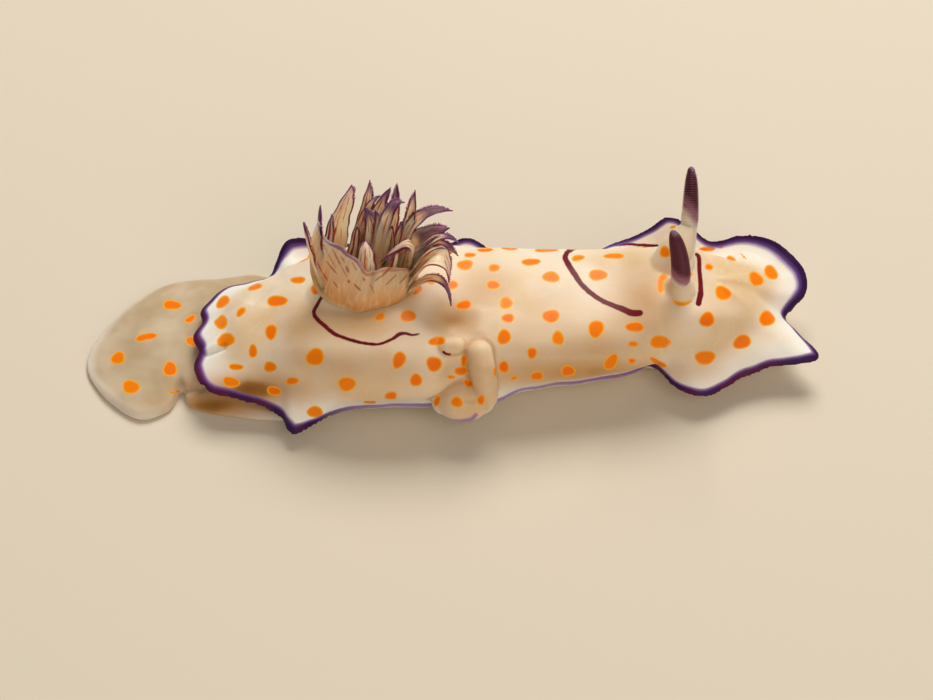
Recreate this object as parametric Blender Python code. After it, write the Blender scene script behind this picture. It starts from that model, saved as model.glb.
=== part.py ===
"""A sea slug, hypselodoris ghardaqana, crawling: a still, life-size model.

Metres, +Z up, head towards +X, the animal's right side towards -Y. The sole lies on z = 0.
Sizes below are in millimetres, measured from the middle of the body, and MM turns them into metres.
"""
import math

import bmesh
import bpy
import numpy as np
from mathutils import Matrix, Vector

MM = 0.001
GAP = 0.3
# Points closer than this are one point.
WELD = 0.01
# A rounded end of a tube, from its tip inwards: reach past the end, and radius, as shares of the end's.
DOME = ((0.85, 0.2), (0.6, 0.6))

# Where the middle of the whole animal's box lies, so that the model can be centred on its origin.
MIDDLE = (0.0, 0.08, 0.0)

# The mantle's free edge, going round from the front over the right side: along, across, up, cup.
# Cup is how far the brim just inside the edge bulges above a straight run to it.
MANTLE_EDGE = {
    "front_notch": (27.9, 2.3, 2.7, 0.0),
    "front_right_hollow": (28.8, 0.3, 2.9, 0.0),
    "front_right_corner": (30.2, -2.2, 3.0, 0.0),
    "front_right_turn": (28.9, -2.8, 2.9, 0.2),
    "right_cheek_front": (26.3, -3.1, 2.7, 0.5),
    "right_cheek": (24.0, -3.9, 2.4, 0.6),
    "right_lobe_front": (22.3, -5.0, 2.2, 0.7),
    "right_lobe": (20.4, -5.8, 2.2, 0.8),
    "right_lobe_rear": (18.5, -4.9, 2.3, 0.6),
    "right_neck": (16.5, -2.9, 2.6, 0.2),
    "right_side_front": (14.5, -3.5, 2.2, 0.2),
    "right_side": (9.5, -4.4, 2.0, 0.2),
    "right_side_rear": (5.5, -5.3, 2.0, 0.2),
    "right_fold_front": (3.6, -6.2, 1.8, 0.3),
    "right_fold": (1.0, -6.3, 1.7, 0.3),
    "right_fold_rear": (-1.6, -6.4, 1.7, 0.3),
    "right_flank": (-5.0, -6.2, 1.5, 0.2),
    "right_rear_flank": (-8.6, -6.9, 1.6, 0.3),
    "rear_right_front": (-11.1, -8.3, 1.6, 0.5),
    "rear_right_corner": (-12.7, -9.1, 1.6, 0.6),
    "rear_right_inner": (-13.8, -7.5, 1.9, 0.5),
    "rear_right_side": (-16.6, -6.7, 2.8, 0.3),
    "rear_right_turn": (-19.5, -6.1, 3.2, 0.1),
    "rear_lower": (-20.7, -4.0, 3.4, 0.0),
    "rear_pleat": (-20.5, -2.4, 3.7, 0.0),
    "rear_middle": (-21.0, -0.8, 3.7, 0.0),
    "rear_upper_notch": (-20.5, 0.9, 3.5, 0.0),
    "rear_upper": (-20.6, 2.4, 3.5, 0.0),
    "rear_left_turn": (-18.9, 4.7, 3.4, 0.0),
    "rear_left_side": (-16.9, 5.3, 3.4, -0.1),
    "rear_left_low": (-15.3, 5.9, 3.6, -0.4),
    "rear_left_inner": (-14.6, 7.0, 4.2, -0.7),
    "rear_left_corner": (-13.5, 8.3, 5.6, -1.0),
    "left_rear_flank": (-10.0, 8.6, 5.0, -0.8),
    "left_flank": (-5.0, 8.0, 4.2, -0.5),
    "left_bump_rear": (-1.0, 8.2, 4.6, -0.5),
    "left_bump": (1.6, 8.5, 5.5, -0.6),
    "left_bump_front": (4.6, 7.6, 3.8, -0.3),
    "left_side": (9.0, 6.8, 3.3, 0.3),
    "left_neck": (12.6, 7.3, 5.2, 1.0),
    "left_lobe_rear": (16.5, 8.35, 6.6, 0.2),
    "left_lobe": (18.3, 9.2, 7.3, -0.9),
    "left_lobe_front": (20.3, 8.85, 6.45, -0.8),
    "left_dip": (22.0, 8.4, 5.25, -0.6),
    "left_cheek": (24.6, 8.4, 6.0, -0.9),
    "front_left_corner": (27.2, 7.55, 6.15, -1.2),
    "front_left_side": (29.4, 5.7, 4.9, -0.9),
    "front_left_turn": (29.6, 3.8, 3.8, -0.4),
}
# The foot's edge, going round the same way: along, across.
FOOT_EDGE = {
    "front": (20.4, 1.6),
    "front_right": (19.6, -1.2),
    "right_front": (16.5, -1.5),
    "right": (10.0, -2.8),
    "right_waist": (2.0, -4.0),
    "right_rear": (-6.0, -4.5),
    "right_rear_turn": (-10.0, -5.3),
    "right_heel": (-13.3, -7.0),
    "right_heel_rear": (-18.0, -6.6),
    "pleat_front": (-21.2, -5.7),
    "pleat": (-22.1, -4.0),
    "pleat_rear": (-23.0, -6.0),
    "tail_right": (-25.3, -6.9),
    "tail_right_turn": (-27.9, -5.2),
    "tail_low": (-29.9, -2.6),
    "tail_tip": (-30.3, -0.2),
    "tail_high": (-29.2, 2.3),
    "tail_left_turn": (-26.7, 6.0),
    "tail_left": (-23.8, 8.0),
    "left_heel_rear": (-20.0, 8.4),
    "left_heel": (-16.0, 8.8),
    "left_rear": (-10.0, 5.6),
    "left_waist": (0.0, 4.4),
    "left": (10.0, 4.0),
    "left_front": (16.5, 4.6),
    "front_left": (19.6, 4.0),
}

# The body along its length: place along, then the value there.
SPINE = ((-14.5, -0.4), (-8.0, -0.6), (-2.0, -0.5), (4.0, 0.2), (10.0, 0.7), (16.0, 1.3), (21.0, 2.0))
CREST = ((-14.5, 6.9), (-11.0, 8.5), (-7.0, 9.5), (-2.0, 9.6), (3.0, 9.1), (8.0, 8.5), (13.0, 8.4),
         (18.0, 8.7), (21.0, 7.6))
HALF_WIDTH = ((-14.5, 5.6), (-11.0, 6.5), (-5.0, 7.2), (1.0, 6.3), (7.0, 5.9), (13.0, 5.4), (17.0, 5.0),
              (21.0, 4.8))
HEAD_REACH = 5.6
REAR_REACH = 4.4
# Behind the first place the back slopes down to the edge all round, ahead of the second only at the head.
REAR_SLOPE = (-14.0, -11.0)
# The foot's top along its length. The mantle's body stands just above it.
FOOT_RIDGE = ((-30.0, 0.8), (-28.0, 1.3), (-25.0, 1.9), (-21.0, 2.4), (-17.0, 2.4), (-12.0, 1.3),
              (-9.0, 1.1), (20.4, 1.1))
FOOT_LINE = ((-25.0, 0.2), (-16.0, 0.3), (-8.0, 0.1), (2.0, 0.2), (10.0, 0.6), (17.0, 1.4))
# Shares of the way out at which the foot's top is drawn, how it rounds off, and its edge: how thick,
# how high its outermost line lies, and how far it turns in below.
FOOT_RINGS = (0.12, 0.35, 0.58, 0.78, 0.94)
FOOT_ROUND = 2.4
FOOT_EDGE_THICK, FOOT_EDGE_HIGH, FOOT_EDGE_TUCK = 0.7, 0.35, 0.2
EDGE_THICK = 0.6
# The mantle's underside, from the edge inwards: place along the section over the back, depth below it.
UNDERSIDE = ((0.97, EDGE_THICK), (0.86, 0.9), (0.74, 1.1))
# Where the sections over the back start beside the crest, as a share of the whole section.
CREST_STRIP = 0.05

# Cuts across the body, by place along.
HEAD_CUT = 14.8
REAR_CUT = -11.7
TAIL_CUT = -13.4
# Room under the front of the mantle for the head: lowest and highest corners.
HEAD_ROOM = ((20.9, -1.3, -1.0), (25.6, 4.6, 2.9))

# Rhinophores: foot of the axis on the mantle, the way it points, bend of the tip, and sizes.
RHINOPHORES = {
    "right": ((18.6, 0.1, 8.3), (0.0, -0.13, 1.0), (-0.15, 0.0, 0.0)),
    "left": ((19.2, 3.0, 8.1), (0.14, 0.68, 0.9), (-0.08, 0.0, 0.0)),
}
RHINOPHORE_LONG = 8.2
STEM_RADIUS = 0.62
CLUB_RADIUS = 0.78
# Where the club starts and its last lamella ends, how much it narrows on the way, and how blunt its tip is.
CLUB = (2.0, 7.2)
CLUB_NARROWS = 0.3
CLUB_BLUNT = 6
LAMELLAE = 10
# One lamella: places up its own height, and its radius there as a share of the club's.
LAMELLA = ((-0.32, 0.87), (0.0, 1.0), (0.32, 0.89))
CLUB_TIP = (0.5, 0.2, 0.03)
SOCKET_RADIUS = 0.92
SOCKET_DEEP = 1.3
SOCKET_LONG = 6.0
# The bulb round a feeler's foot: places up the axis, and its radius there as a share of the whole.
SHEATH_RADIUS = 1.3
SHEATH = ((-1.6, 0.95), (-0.5, 1.0), (0.2, 0.97), (0.75, 0.88))

# Gill: an oval ring of branches round the vent, in four quarters so that none closes round the middle.
GILL_CENTRE = (-7.0, -0.3)
GILL_LONG, GILL_WIDE = 3.4, 2.5
GILL_HOLLOW = 0.55
GILL_FLOOR = 7.4
GILL_TOP = 9.6
GILL_SHOULDER = 0.6
GILL_QUARTERS = {"gill_front": 0, "gill_left": 90, "gill_rear": 180, "gill_right": -90}
# Where the branches start, as a share of the ring's size, and how far below its top.
BRANCH_ROOT, BRANCH_SUNK = 0.78, 0.7
# Each branch: bearing of its root on the ring from +X towards +Y, its tip from the ring's middle, breadth,
# and how far it arches up, bulges out and sways along the ring on the way, as shares of its length.
GILL_BRANCHES = {
    "gill_rear": ((208, (-3.4, 0.4, 4.4), 1.6, 0.0, 0.2, 0.0), (199, (-4.0, 1.9, 4.9), 1.7, 0.0, 0.2, 0.0),
                  (188, (-2.8, 2.9, 5.9), 2.0, 0.0, 0.15, 0.0), (176, (-2.4, 2.2, 5.9), 1.6, 0.0, 0.1, 0.0),
                  (166, (-1.6, 3.6, 5.5), 1.6, 0.0, 0.1, 0.0), (157, (-0.8, 4.7, 6.4), 2.0, 0.0, 0.1, 0.0)),
    "gill_left": ((114, (0.9, 5.1, 6.6), 1.4, 0.0, 0.1, 0.0), (103, (1.7, 4.6, 5.2), 1.4, 0.1, 0.1, 0.1),
                  (89, (2.4, 4.8, 6.2), 1.5, 0.0, 0.1, 0.0), (74, (3.0, 4.9, 6.2), 1.4, 0.0, 0.1, 0.0)),
    "gill_front": ((32, (4.5, 3.8, 6.4), 1.5, 0.0, 0.1, 0.0), (24, (7.2, 3.4, 4.8), 1.6, 0.12, 0.0, 0.0),
                   (14, (6.4, 2.0, 4.0), 1.4, 0.15, 0.0, 0.0), (4, (6.8, 1.7, 4.6), 1.9, 0.15, 0.05, 0.0),
                   (-8, (7.7, 0.5, 3.0), 1.7, 0.35, 0.0, 0.0), (-19, (7.2, -1.3, 1.7), 1.6, 0.6, 0.0, 0.0),
                   (-30, (7.1, -2.6, 0.5), 1.1, 0.6, 0.0, 0.0)),
    "gill_right": ((-65, (3.0, 0.1, 3.8), 1.5, 0.0, 0.3, 0.0), (-78, (2.1, -0.6, 3.5), 1.9, 0.0, 0.25, 0.0),
                   (-91, (1.2, -1.3, 3.1), 2.0, 0.0, 0.2, 0.0), (-104, (0.2, -1.5, 3.2), 2.0, 0.0, 0.2, 0.0),
                   (-117, (-0.9, -0.6, 3.7), 1.7, 0.0, 0.2, 0.0)),
}
# A branch's leaf: rings down its length, the share of it before the tip, how broad it is at the root and
# how it swells and narrows, how thick it is at least and by its breadth, and how deep it is folded.
LEAF_RINGS, LEAF_BODY = 8, 0.93
LEAF_ROOT, LEAF_SWELL, LEAF_NARROWS = 0.72, 1.1, 1.7
LEAF_THICK, LEAF_SWELLING = 0.14, 0.2
LEAF_FOLD = 0.4

# The pinched fold of the mantle on the right side: (along, across, up, radius) down each part.
FOLD_PARTS = {
    "lip": ((-0.5, -6.8, 2.6, 1.0), (0.5, -7.2, 2.4, 1.4), (1.8, -7.2, 2.4, 1.4), (2.9, -6.7, 2.8, 1.0)),
    "wall": ((0.2, -6.8, 3.4, 1.3), (0.6, -6.6, 4.8, 1.1), (0.3, -6.0, 6.4, 0.9)),
    "knob": ((-0.3, -5.5, 7.2, 0.8), (0.8, -5.7, 7.4, 0.9)),
    "finger": ((3.0, -6.8, 3.4, 1.0), (2.9, -6.8, 5.0, 1.02), (2.6, -6.3, 6.8, 1.0),
               (2.4, -5.6, 8.0, 0.88)),
}

# Oral tentacles beside the mouth: foot on the head, the way it points.
ORAL_TENTACLES = {
    "right": ((23.9, -0.5, 1.25), (1.0, -0.75, -0.3)),
    "left": ((23.9, 3.7, 1.25), (1.0, 0.75, -0.3)),
}
ORAL_LONG = 2.0
ORAL_RADIUS = 0.5
ORAL_DEEP = 0.8
HEAD_CENTRE = (22.0, 1.6, 1.6)
HEAD_RADII = (3.3, 2.6, 1.35)
MOUTH_WIDE, MOUTH_HIGH, MOUTH_DEEP, MOUTH_LOW = 2.2, 0.35, 0.8, 0.45

MANTLE_SPOKES = 132
MANTLE_RINGS = 10
FOOT_SPOKES = 84

COLOURS = {
    "mantle": ((0.86, 0.74, 0.58), 0.35),
    "foot": ((0.72, 0.66, 0.56), 0.35),
    "rhinophore": ((0.08, 0.02, 0.05), 0.4),
    "gill": ((0.55, 0.28, 0.2), 0.4),
}


def read(table, x):
    """The value at x on a smooth curve through a table of (place, value)."""
    xs, ys = np.array(table, float).T
    slopes = np.gradient(ys, xs)
    x = np.clip(x, xs[0], xs[-1])
    i = np.clip(np.searchsorted(xs, x) - 1, 0, len(xs) - 2)
    h = xs[i + 1] - xs[i]
    f = (x - xs[i]) / h
    start = (1 + 2 * f) * (1 - f) ** 2 * ys[i] + f * (1 - f) ** 2 * h * slopes[i]
    end = f * f * (3 - 2 * f) * ys[i + 1] + f * f * (f - 1) * h * slopes[i + 1]
    return start + end


def round_loop(points, count):
    """count points evenly spaced along a smooth closed curve through points."""
    p = np.array(points, float)
    n = len(p)
    at = np.linspace(0, n, 40 * n, endpoint=False)
    i = at.astype(int)
    f = (at - i)[:, None]
    a, b, c, d = p[(i - 1) % n], p[i], p[(i + 1) % n], p[(i + 2) % n]
    square = 2 * a - 5 * b + 4 * c - d
    cube = 3 * b - a - 3 * c + d
    fine = 0.5 * (2 * b + (c - a) * f + square * f ** 2 + cube * f ** 3)
    closed = np.vstack([fine, fine[:1]])
    along = np.concatenate([[0], np.cumsum(np.linalg.norm(np.diff(closed[:, :3], axis=0), axis=1))])
    even = np.linspace(0, along[-1], count, endpoint=False)
    return np.column_stack([np.interp(even, along, column) for column in closed.T])


def spline_weights(t, count):
    """Weights of count control points of a clamped cubic B-spline at each t from 0 to 1."""
    knots = np.concatenate([np.zeros(3), np.linspace(0, 1, count - 2), np.ones(3)])
    t = np.clip(t, 0, 1 - 1e-9)
    weights = [((knots[i] <= t) & (t < knots[i + 1])).astype(float) for i in range(len(knots) - 1)]
    for degree in (1, 2, 3):
        raised = []
        for i in range(len(weights) - 1):
            left = knots[i + degree] - knots[i]
            right = knots[i + degree + 1] - knots[i + 1]
            value = np.zeros_like(t)
            if left > 0:
                value = value + (t - knots[i]) / left * weights[i]
            if right > 0:
                value = value + (knots[i + degree + 1] - t) / right * weights[i + 1]
            raised.append(value)
        weights = raised
    return np.array(weights).T


def smooth_step(x):
    x = np.clip(x, 0, 1)
    return x * x * (3 - 2 * x)


def spokes_from(table, edge):
    """Start of each spoke on the midline and its way out to the edge."""
    low, high = table[0][0], table[-1][0]
    rear, front = edge[:, 0].min(), edge[:, 0].max()
    place = (2 * edge[:, 0] - rear - front) / (front - rear)
    along = (low + high) / 2 + (high - low) / 2 * np.sin(np.pi / 2 * place)
    root = np.column_stack([along, read(table, along)])
    out = edge[:, :2] - root
    reach = np.linalg.norm(out, axis=1)
    return root, out / reach[:, None], reach


def mantle_sections(count, rings):
    """For each spoke of the mantle: its start, its way out, and its section as (out, up) points.

    A section runs over the back to the edge, and then under the edge to the body above the foot.
    """
    edge = round_loop(list(MANTLE_EDGE.values()), count)
    root, way, reach = spokes_from(SPINE, edge)
    along = root[:, 0]
    crest = read(CREST, along)
    slope = (read(CREST, along + 0.05) - read(CREST, along - 0.05)) / 0.1
    ahead = np.where(way[:, 0] > 0, HEAD_REACH, REAR_REACH)
    half = 1 / np.sqrt((way[:, 1] / read(HALF_WIDTH, along)) ** 2 + (way[:, 0] / ahead) ** 2)
    flare = smooth_step((reach / half - 0.85) / 0.4)
    sloped, rounded = REAR_SLOPE
    rearward = smooth_step((rounded - along) / (rounded - sloped))
    endward = np.maximum(smooth_step((np.abs(way[:, 0]) - 0.35) / 0.6), rearward)
    rim = edge[:, 2]
    cup = edge[:, 3]

    def mix(tucked, flared):
        return tucked + (flared - tucked) * flare

    shoulder = (0.5 - 0.18 * endward) * half
    side_high = mix(0.42 * crest, 0.5 * crest + 0.08 * rim)
    end_high = 0.42 * crest + 0.5 * rim
    flank = side_high + (end_high - side_high) * endward
    upper = crest * (0.93 - 0.16 * endward) + 0.1 * rim * endward
    over = np.stack([
        np.column_stack([0 * crest, crest]),
        np.column_stack([shoulder, crest + slope * way[:, 0] * shoulder]),
        np.column_stack([mix(1.06, 0.92) * half * (1 - 0.2 * endward), upper]),
        np.column_stack([mix(1.16, 0.98) * half * (1 - 0.06 * endward), flank]),
        np.column_stack([mix(reach + 0.3 * np.maximum(half - reach, 0.5), half + 0.5 * (reach - half)),
                         0.4 * flank + 0.6 * rim + cup - 0.35 * flare * (1 - endward)]),
        np.column_stack([reach - 0.1, rim]),
    ], axis=1)
    top = np.einsum("tk,skc->stc", spline_weights(np.linspace(CREST_STRIP, 1, rings), 6), over)
    floor = read(FOOT_RIDGE, np.clip(along + 0.55 * way[:, 0] * half, -30, 20.4)) + GAP
    lip = np.column_stack([reach, rim - EDGE_THICK / 2])
    body = np.column_stack([np.minimum(0.62 * half, reach - 1.6), floor])
    under = [lip]
    for step, (share, thick) in enumerate(UNDERSIDE):
        at, before = np.einsum("tk,skc->tsc", spline_weights(np.array([share, share - 0.01]), 6), over)
        run = (at - before) / np.linalg.norm(at - before, axis=1)[:, None]
        below = at - thick * np.column_stack([-run[:, 1], run[:, 0]])
        below[:, 1] = np.maximum(below[:, 1], floor)
        straight = lip + (body - lip) * (step + 1) / (len(UNDERSIDE) + 1)
        under.append(straight + (below - straight) * flare[:, None])
    under = np.stack(under + [body], axis=1)
    return root, way, np.concatenate([top, under], axis=1)


def ringed_mesh(name, root, way, sections):
    """A closed mesh from spokes of (out, up) points, closed along the midline above and below."""
    count, rings = sections.shape[:2]
    places = root[:, None, :] + way[:, None, :] * sections[:, :, :1]
    verts = np.concatenate([places, sections[:, :, 1:]], axis=2).reshape(-1, 3)
    faces = [[k * rings for k in range(count)], [k * rings + rings - 1 for k in range(count)]]
    for k in range(count):
        following = (k + 1) % count
        for j in range(rings - 1):
            a, b = k * rings + j, following * rings + j
            faces.append((a, a + 1, b + 1, b))
    return mesh_object(name, verts, faces)


def placed(point):
    """A point in millimetres from the middle of the body, as a place in the model in metres."""
    return (Vector(point) - Vector(MIDDLE)) * MM


def linked(name, data):
    """A new object in the scene."""
    made = bpy.data.objects.new(name, data)
    bpy.context.scene.collection.objects.link(made)
    return made


def mesh_object(name, verts, faces):
    """An object from points in millimetres, its faces turned outwards."""
    mesh = bpy.data.meshes.new(name)
    mesh.from_pydata([placed(v) for v in verts], [], faces)
    close_up(mesh)
    return linked(name, mesh)


def close_up(mesh):
    """Welds a mesh, splits it into triangles and turns its faces outwards."""
    shaped = bmesh.new()
    shaped.from_mesh(mesh)
    bmesh.ops.remove_doubles(shaped, verts=shaped.verts, dist=WELD * MM)
    bmesh.ops.triangulate(shaped, faces=shaped.faces)
    bmesh.ops.recalc_face_normals(shaped, faces=shaped.faces)
    shaped.to_mesh(mesh)
    shaped.free()


def box_between(name, low, high):
    """A box by its corners in millimetres."""
    bpy.ops.mesh.primitive_cube_add(size=1.0)
    made = bpy.context.object
    made.name = name
    size = (Vector(high) - Vector(low)) * MM
    middle = placed((Vector(low) + Vector(high)) / 2)
    made.data.transform(Matrix.Translation(middle) @ Matrix.Diagonal((*size, 1.0)))
    return made


def tube(name, points, radii, resolution):
    """A closed round tube through points, with a radius at each and 4 + 2 * resolution sides."""
    curve = bpy.data.curves.new(name, "CURVE")
    curve.dimensions = "3D"
    curve.bevel_depth = MM
    curve.bevel_resolution = resolution
    curve.use_fill_caps = True
    line = curve.splines.new("POLY")
    line.points.add(len(points) - 1)
    for spot, point, radius in zip(line.points, points, radii):
        spot.co = (*placed(point), 1.0)
        spot.radius = radius
    drawn = linked(name, curve)
    mesh = bpy.data.meshes.new_from_object(drawn.evaluated_get(bpy.context.evaluated_depsgraph_get()))
    bpy.data.objects.remove(drawn)
    close_up(mesh)
    return linked(name, mesh)


def domed(points, radii):
    """Points and radii of a tube, with a rounded end added at each end."""
    points = [Vector(point) for point in points]
    first = (points[1] - points[0]).normalized() * radii[0]
    last = (points[-1] - points[-2]).normalized() * radii[-1]
    points = [points[0] - first * reach for reach, share in DOME] + points
    points += [points[-1] + last * reach for reach, share in reversed(DOME)]
    before = [radii[0] * share for reach, share in DOME]
    after = [radii[-1] * share for reach, share in reversed(DOME)]
    return points, before + list(radii) + after


def boolean(target, other, operation, keep_other=False):
    """Cuts or joins target with other and applies it; other is removed unless it is kept."""
    modifier = target.modifiers.new(operation.lower(), "BOOLEAN")
    modifier.operation = operation
    modifier.solver = "EXACT"
    modifier.object = other
    bake(target)
    if not keep_other:
        bpy.data.objects.remove(other)


def bake(target):
    """Replaces an object's mesh by what its modifiers make of it."""
    evaluated = target.evaluated_get(bpy.context.evaluated_depsgraph_get())
    made = bpy.data.meshes.new_from_object(evaluated)
    target.modifiers.clear()
    target.data = made


def joined(name, pieces):
    """One closed body from overlapping closed pieces, by a single union."""
    group = bpy.data.collections.new(name + "_pieces")
    for piece in pieces[1:]:
        group.objects.link(piece)
    target = pieces[0]
    target.name = name
    modifier = target.modifiers.new("union", "BOOLEAN")
    modifier.operation = "UNION"
    modifier.operand_type = "COLLECTION"
    modifier.solver = "MANIFOLD"
    modifier.collection = group
    bake(target)
    for piece in pieces[1:]:
        bpy.data.objects.remove(piece)
    bpy.data.collections.remove(group)
    return target


def tidied(target):
    """Keeps an object's largest closed surface, without slivers."""
    shaped = bmesh.new()
    shaped.from_mesh(target.data)
    bmesh.ops.dissolve_degenerate(shaped, edges=shaped.edges, dist=0.01 * MM)
    bmesh.ops.triangulate(shaped, faces=shaped.faces)
    waiting = set(shaped.verts)
    shells = []
    while waiting:
        front = [waiting.pop()]
        shell = set(front)
        while front:
            for edge in front.pop().link_edges:
                for vert in edge.verts:
                    if vert in waiting:
                        waiting.discard(vert)
                        shell.add(vert)
                        front.append(vert)
        shells.append(shell)
    shells.sort(key=len)
    loose = [vert for shell in shells[:-1] for vert in shell]
    bmesh.ops.delete(shaped, geom=loose, context="VERTS")
    bmesh.ops.recalc_face_normals(shaped, faces=shaped.faces)
    shaped.to_mesh(target.data)
    shaped.free()
    return target


def material(kind):
    """The flesh of one kind of part."""
    made = bpy.data.materials.get(kind) or bpy.data.materials.new(kind)
    colour, rough = COLOURS[kind]
    made.use_nodes = True
    shader = made.node_tree.nodes["Principled BSDF"]
    shader.inputs["Base Color"].default_value = (*colour, 1.0)
    shader.inputs["Roughness"].default_value = rough
    shader.inputs["Metallic"].default_value = 0.0
    return made


def finish(target, name, kind, animal):
    """Names a finished part, gives it its flesh and smooth shading, and adds it to the animal."""
    target.name = name
    target.data.materials.clear()
    target.data.materials.append(material(kind))
    target.data.shade_smooth()
    target.data.set_sharp_from_angle(angle=math.radians(50))
    for group in list(target.users_collection):
        group.objects.unlink(target)
    animal.objects.link(target)


def along_axis(foot, way, bend, reach):
    """A place along a feeler's axis, reach from its foot: the tip is bent by bend, the root is straight."""
    out = max(reach, 0.0)
    return Vector(foot) + Vector(way).normalized() * reach + Vector(bend) * out * out / RHINOPHORE_LONG


def whole_mantle():
    """The mantle with the body under it, before it is parted."""
    return ringed_mesh("mantle_whole", *mantle_sections(MANTLE_SPOKES, MANTLE_RINGS))


def fold_pieces():
    """The lip, wall, knob and finger of the pinched fold."""
    pieces = []
    for name, line in FOLD_PARTS.items():
        points, radii = domed([row[:3] for row in line], [row[3] for row in line])
        pieces.append(tube("fold_" + name, points, radii, 3))
    return pieces


def sheath(side):
    """The low collar round a rhinophore's foot, sunk in the mantle."""
    points = [along_axis(*RHINOPHORES[side], reach) for reach, share in SHEATH]
    radii = [SHEATH_RADIUS * share for reach, share in SHEATH]
    return tube("sheath_" + side, *domed(points, radii), 5)


def socket(foot, way, deep, radius):
    """A round hole with a flat bottom, square to the way a feeler points."""
    axis = Vector(way).normalized()
    bpy.ops.mesh.primitive_cylinder_add(vertices=16, radius=radius * MM, depth=SOCKET_LONG * MM)
    made = bpy.context.object
    centre = placed(Vector(foot) + axis * (SOCKET_LONG / 2 - deep))
    turn = axis.to_track_quat("Z", "Y").to_matrix().to_4x4()
    made.data.transform(Matrix.Translation(centre) @ turn)
    return made


def club_radius(reach):
    """The club's radius at a place up the feeler: it narrows evenly and closes in a blunt tip."""
    share = (reach - CLUB[0]) / (RHINOPHORE_LONG - CLUB[0])
    return CLUB_RADIUS * (1 - CLUB_NARROWS * share) * math.sqrt(1 - share ** CLUB_BLUNT)


def rhinophore(side):
    """A feeler with a smooth stem and a club ringed by lamellae."""
    rows = [(GAP - SOCKET_DEEP, STEM_RADIUS), (0.2, STEM_RADIUS), (0.8 * CLUB[0], STEM_RADIUS)]
    step = (CLUB[1] - CLUB[0]) / LAMELLAE
    for ring in range(LAMELLAE):
        at = CLUB[0] + (ring + 0.5) * step
        rows += [(at + place * step, club_radius(at) * share) for place, share in LAMELLA]
    rows += [(RHINOPHORE_LONG - short, club_radius(RHINOPHORE_LONG - short)) for short in CLUB_TIP]
    points = [along_axis(*RHINOPHORES[side], reach) for reach, radius in rows]
    return tube("rhinophore", points, [radius for reach, radius in rows], 4)


def ring_place(bearing, share, up):
    """A place over the gill's oval ring, at a bearing in degrees and a share of the ring's size."""
    angle = math.radians(bearing)
    return np.array((GILL_CENTRE[0] + GILL_LONG * share * math.cos(angle),
                     GILL_CENTRE[1] + GILL_WIDE * share * math.sin(angle), up))


def ring_quarter(middle, low, high):
    """A quarter of the gill's root ring, round the bearing middle, a little short of its neighbours."""
    steps = 7
    outline = ((GILL_HOLLOW, low), (1.0, low), (1.0, high - GILL_SHOULDER), (0.85, high),
               (GILL_HOLLOW, high))
    spread = 45 - math.degrees(GAP / 2 / (GILL_WIDE * GILL_HOLLOW))
    verts = []
    for k in range(steps):
        bearing = middle - spread + 2 * spread * k / (steps - 1)
        verts += [ring_place(bearing, share, up) for share, up in outline]
    sides = len(outline)
    faces = [tuple(range(sides))[::-1], tuple(range((steps - 1) * sides, steps * sides))]
    for k in range(steps - 1):
        for j in range(sides):
            a, b = k * sides + j, k * sides + (j + 1) % sides
            faces.append((a, b, b + sides, a + sides))
    return mesh_object("gill_root", verts, faces)


def branch_line(bearing, tip, arch, bulge, sway, shares):
    """Middle line of a gill branch: points, the way along at each, and the level way across."""
    root = ring_place(bearing, BRANCH_ROOT, GILL_TOP - BRANCH_SUNK)
    end = np.array((*GILL_CENTRE, GILL_TOP)) + tip
    away = ring_place(bearing, 1.0, 0.0) - ring_place(bearing, 0.0, 0.0)
    away /= np.linalg.norm(away)
    across = np.array((-away[1], away[0], 0.0))
    long = np.linalg.norm(end - root)
    bend = (root + end) / 2 + (away * bulge + across * sway + np.array((0, 0, arch))) * long
    t = shares[:, None]
    points = root * (1 - t) ** 2 + 2 * bend * t * (1 - t) + end * t ** 2
    along = 2 * (bend - root) * (1 - t) + 2 * (end - bend) * t
    return points, along / np.linalg.norm(along, axis=1)[:, None], across


def gill_branch(bearing, tip, breadth, arch, bulge, sway):
    """A tapering leaf, folded along its middle like a gutter open to the inside of the tuft."""
    shares = np.append(np.linspace(0, LEAF_BODY, LEAF_RINGS), 1.0)
    points, along, across = branch_line(bearing, tip, arch, bulge, sway, shares)
    widths = breadth / 2 * (LEAF_ROOT + LEAF_SWELL * shares) * (1 - shares ** LEAF_NARROWS)
    verts = []
    for point, way, width in list(zip(points, along, widths))[:LEAF_RINGS]:
        front = np.cross(across, way)
        thick = LEAF_THICK + LEAF_SWELLING * width
        fold = LEAF_FOLD * width
        verts += [point + front * thick, point + across * width - front * fold,
                  point - front * thick, point - across * width - front * fold]
    verts.append(points[-1])
    faces = [(3, 2, 1, 0)]
    for i in range(LEAF_RINGS - 1):
        for k in range(4):
            a, b = i * 4 + k, i * 4 + (k + 1) % 4
            faces.append((a, b, b + 4, a + 4))
    for k in range(4):
        faces.append(((LEAF_RINGS - 1) * 4 + k, (LEAF_RINGS - 1) * 4 + (k + 1) % 4, len(verts) - 1))
    return mesh_object("gill_branch", verts, faces)


def gill_quarter(name, middle):
    """A quarter of the gill's root ring with its branches."""
    root = ring_quarter(middle, GILL_FLOOR + GAP, GILL_TOP)
    return joined(name, [root] + [gill_branch(*row) for row in GILL_BRANCHES[name]])


def gill_pocket():
    """What is cut out of the mantle for the gill."""
    bpy.ops.mesh.primitive_cylinder_add(vertices=36, radius=MM, depth=6 * MM)
    made = bpy.context.object
    centre = placed((*GILL_CENTRE, GILL_FLOOR + 3.0))
    size = Matrix.Diagonal((GILL_LONG + GAP, GILL_WIDE + GAP, 1.0, 1.0))
    made.data.transform(Matrix.Translation(centre) @ size)
    return made


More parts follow.
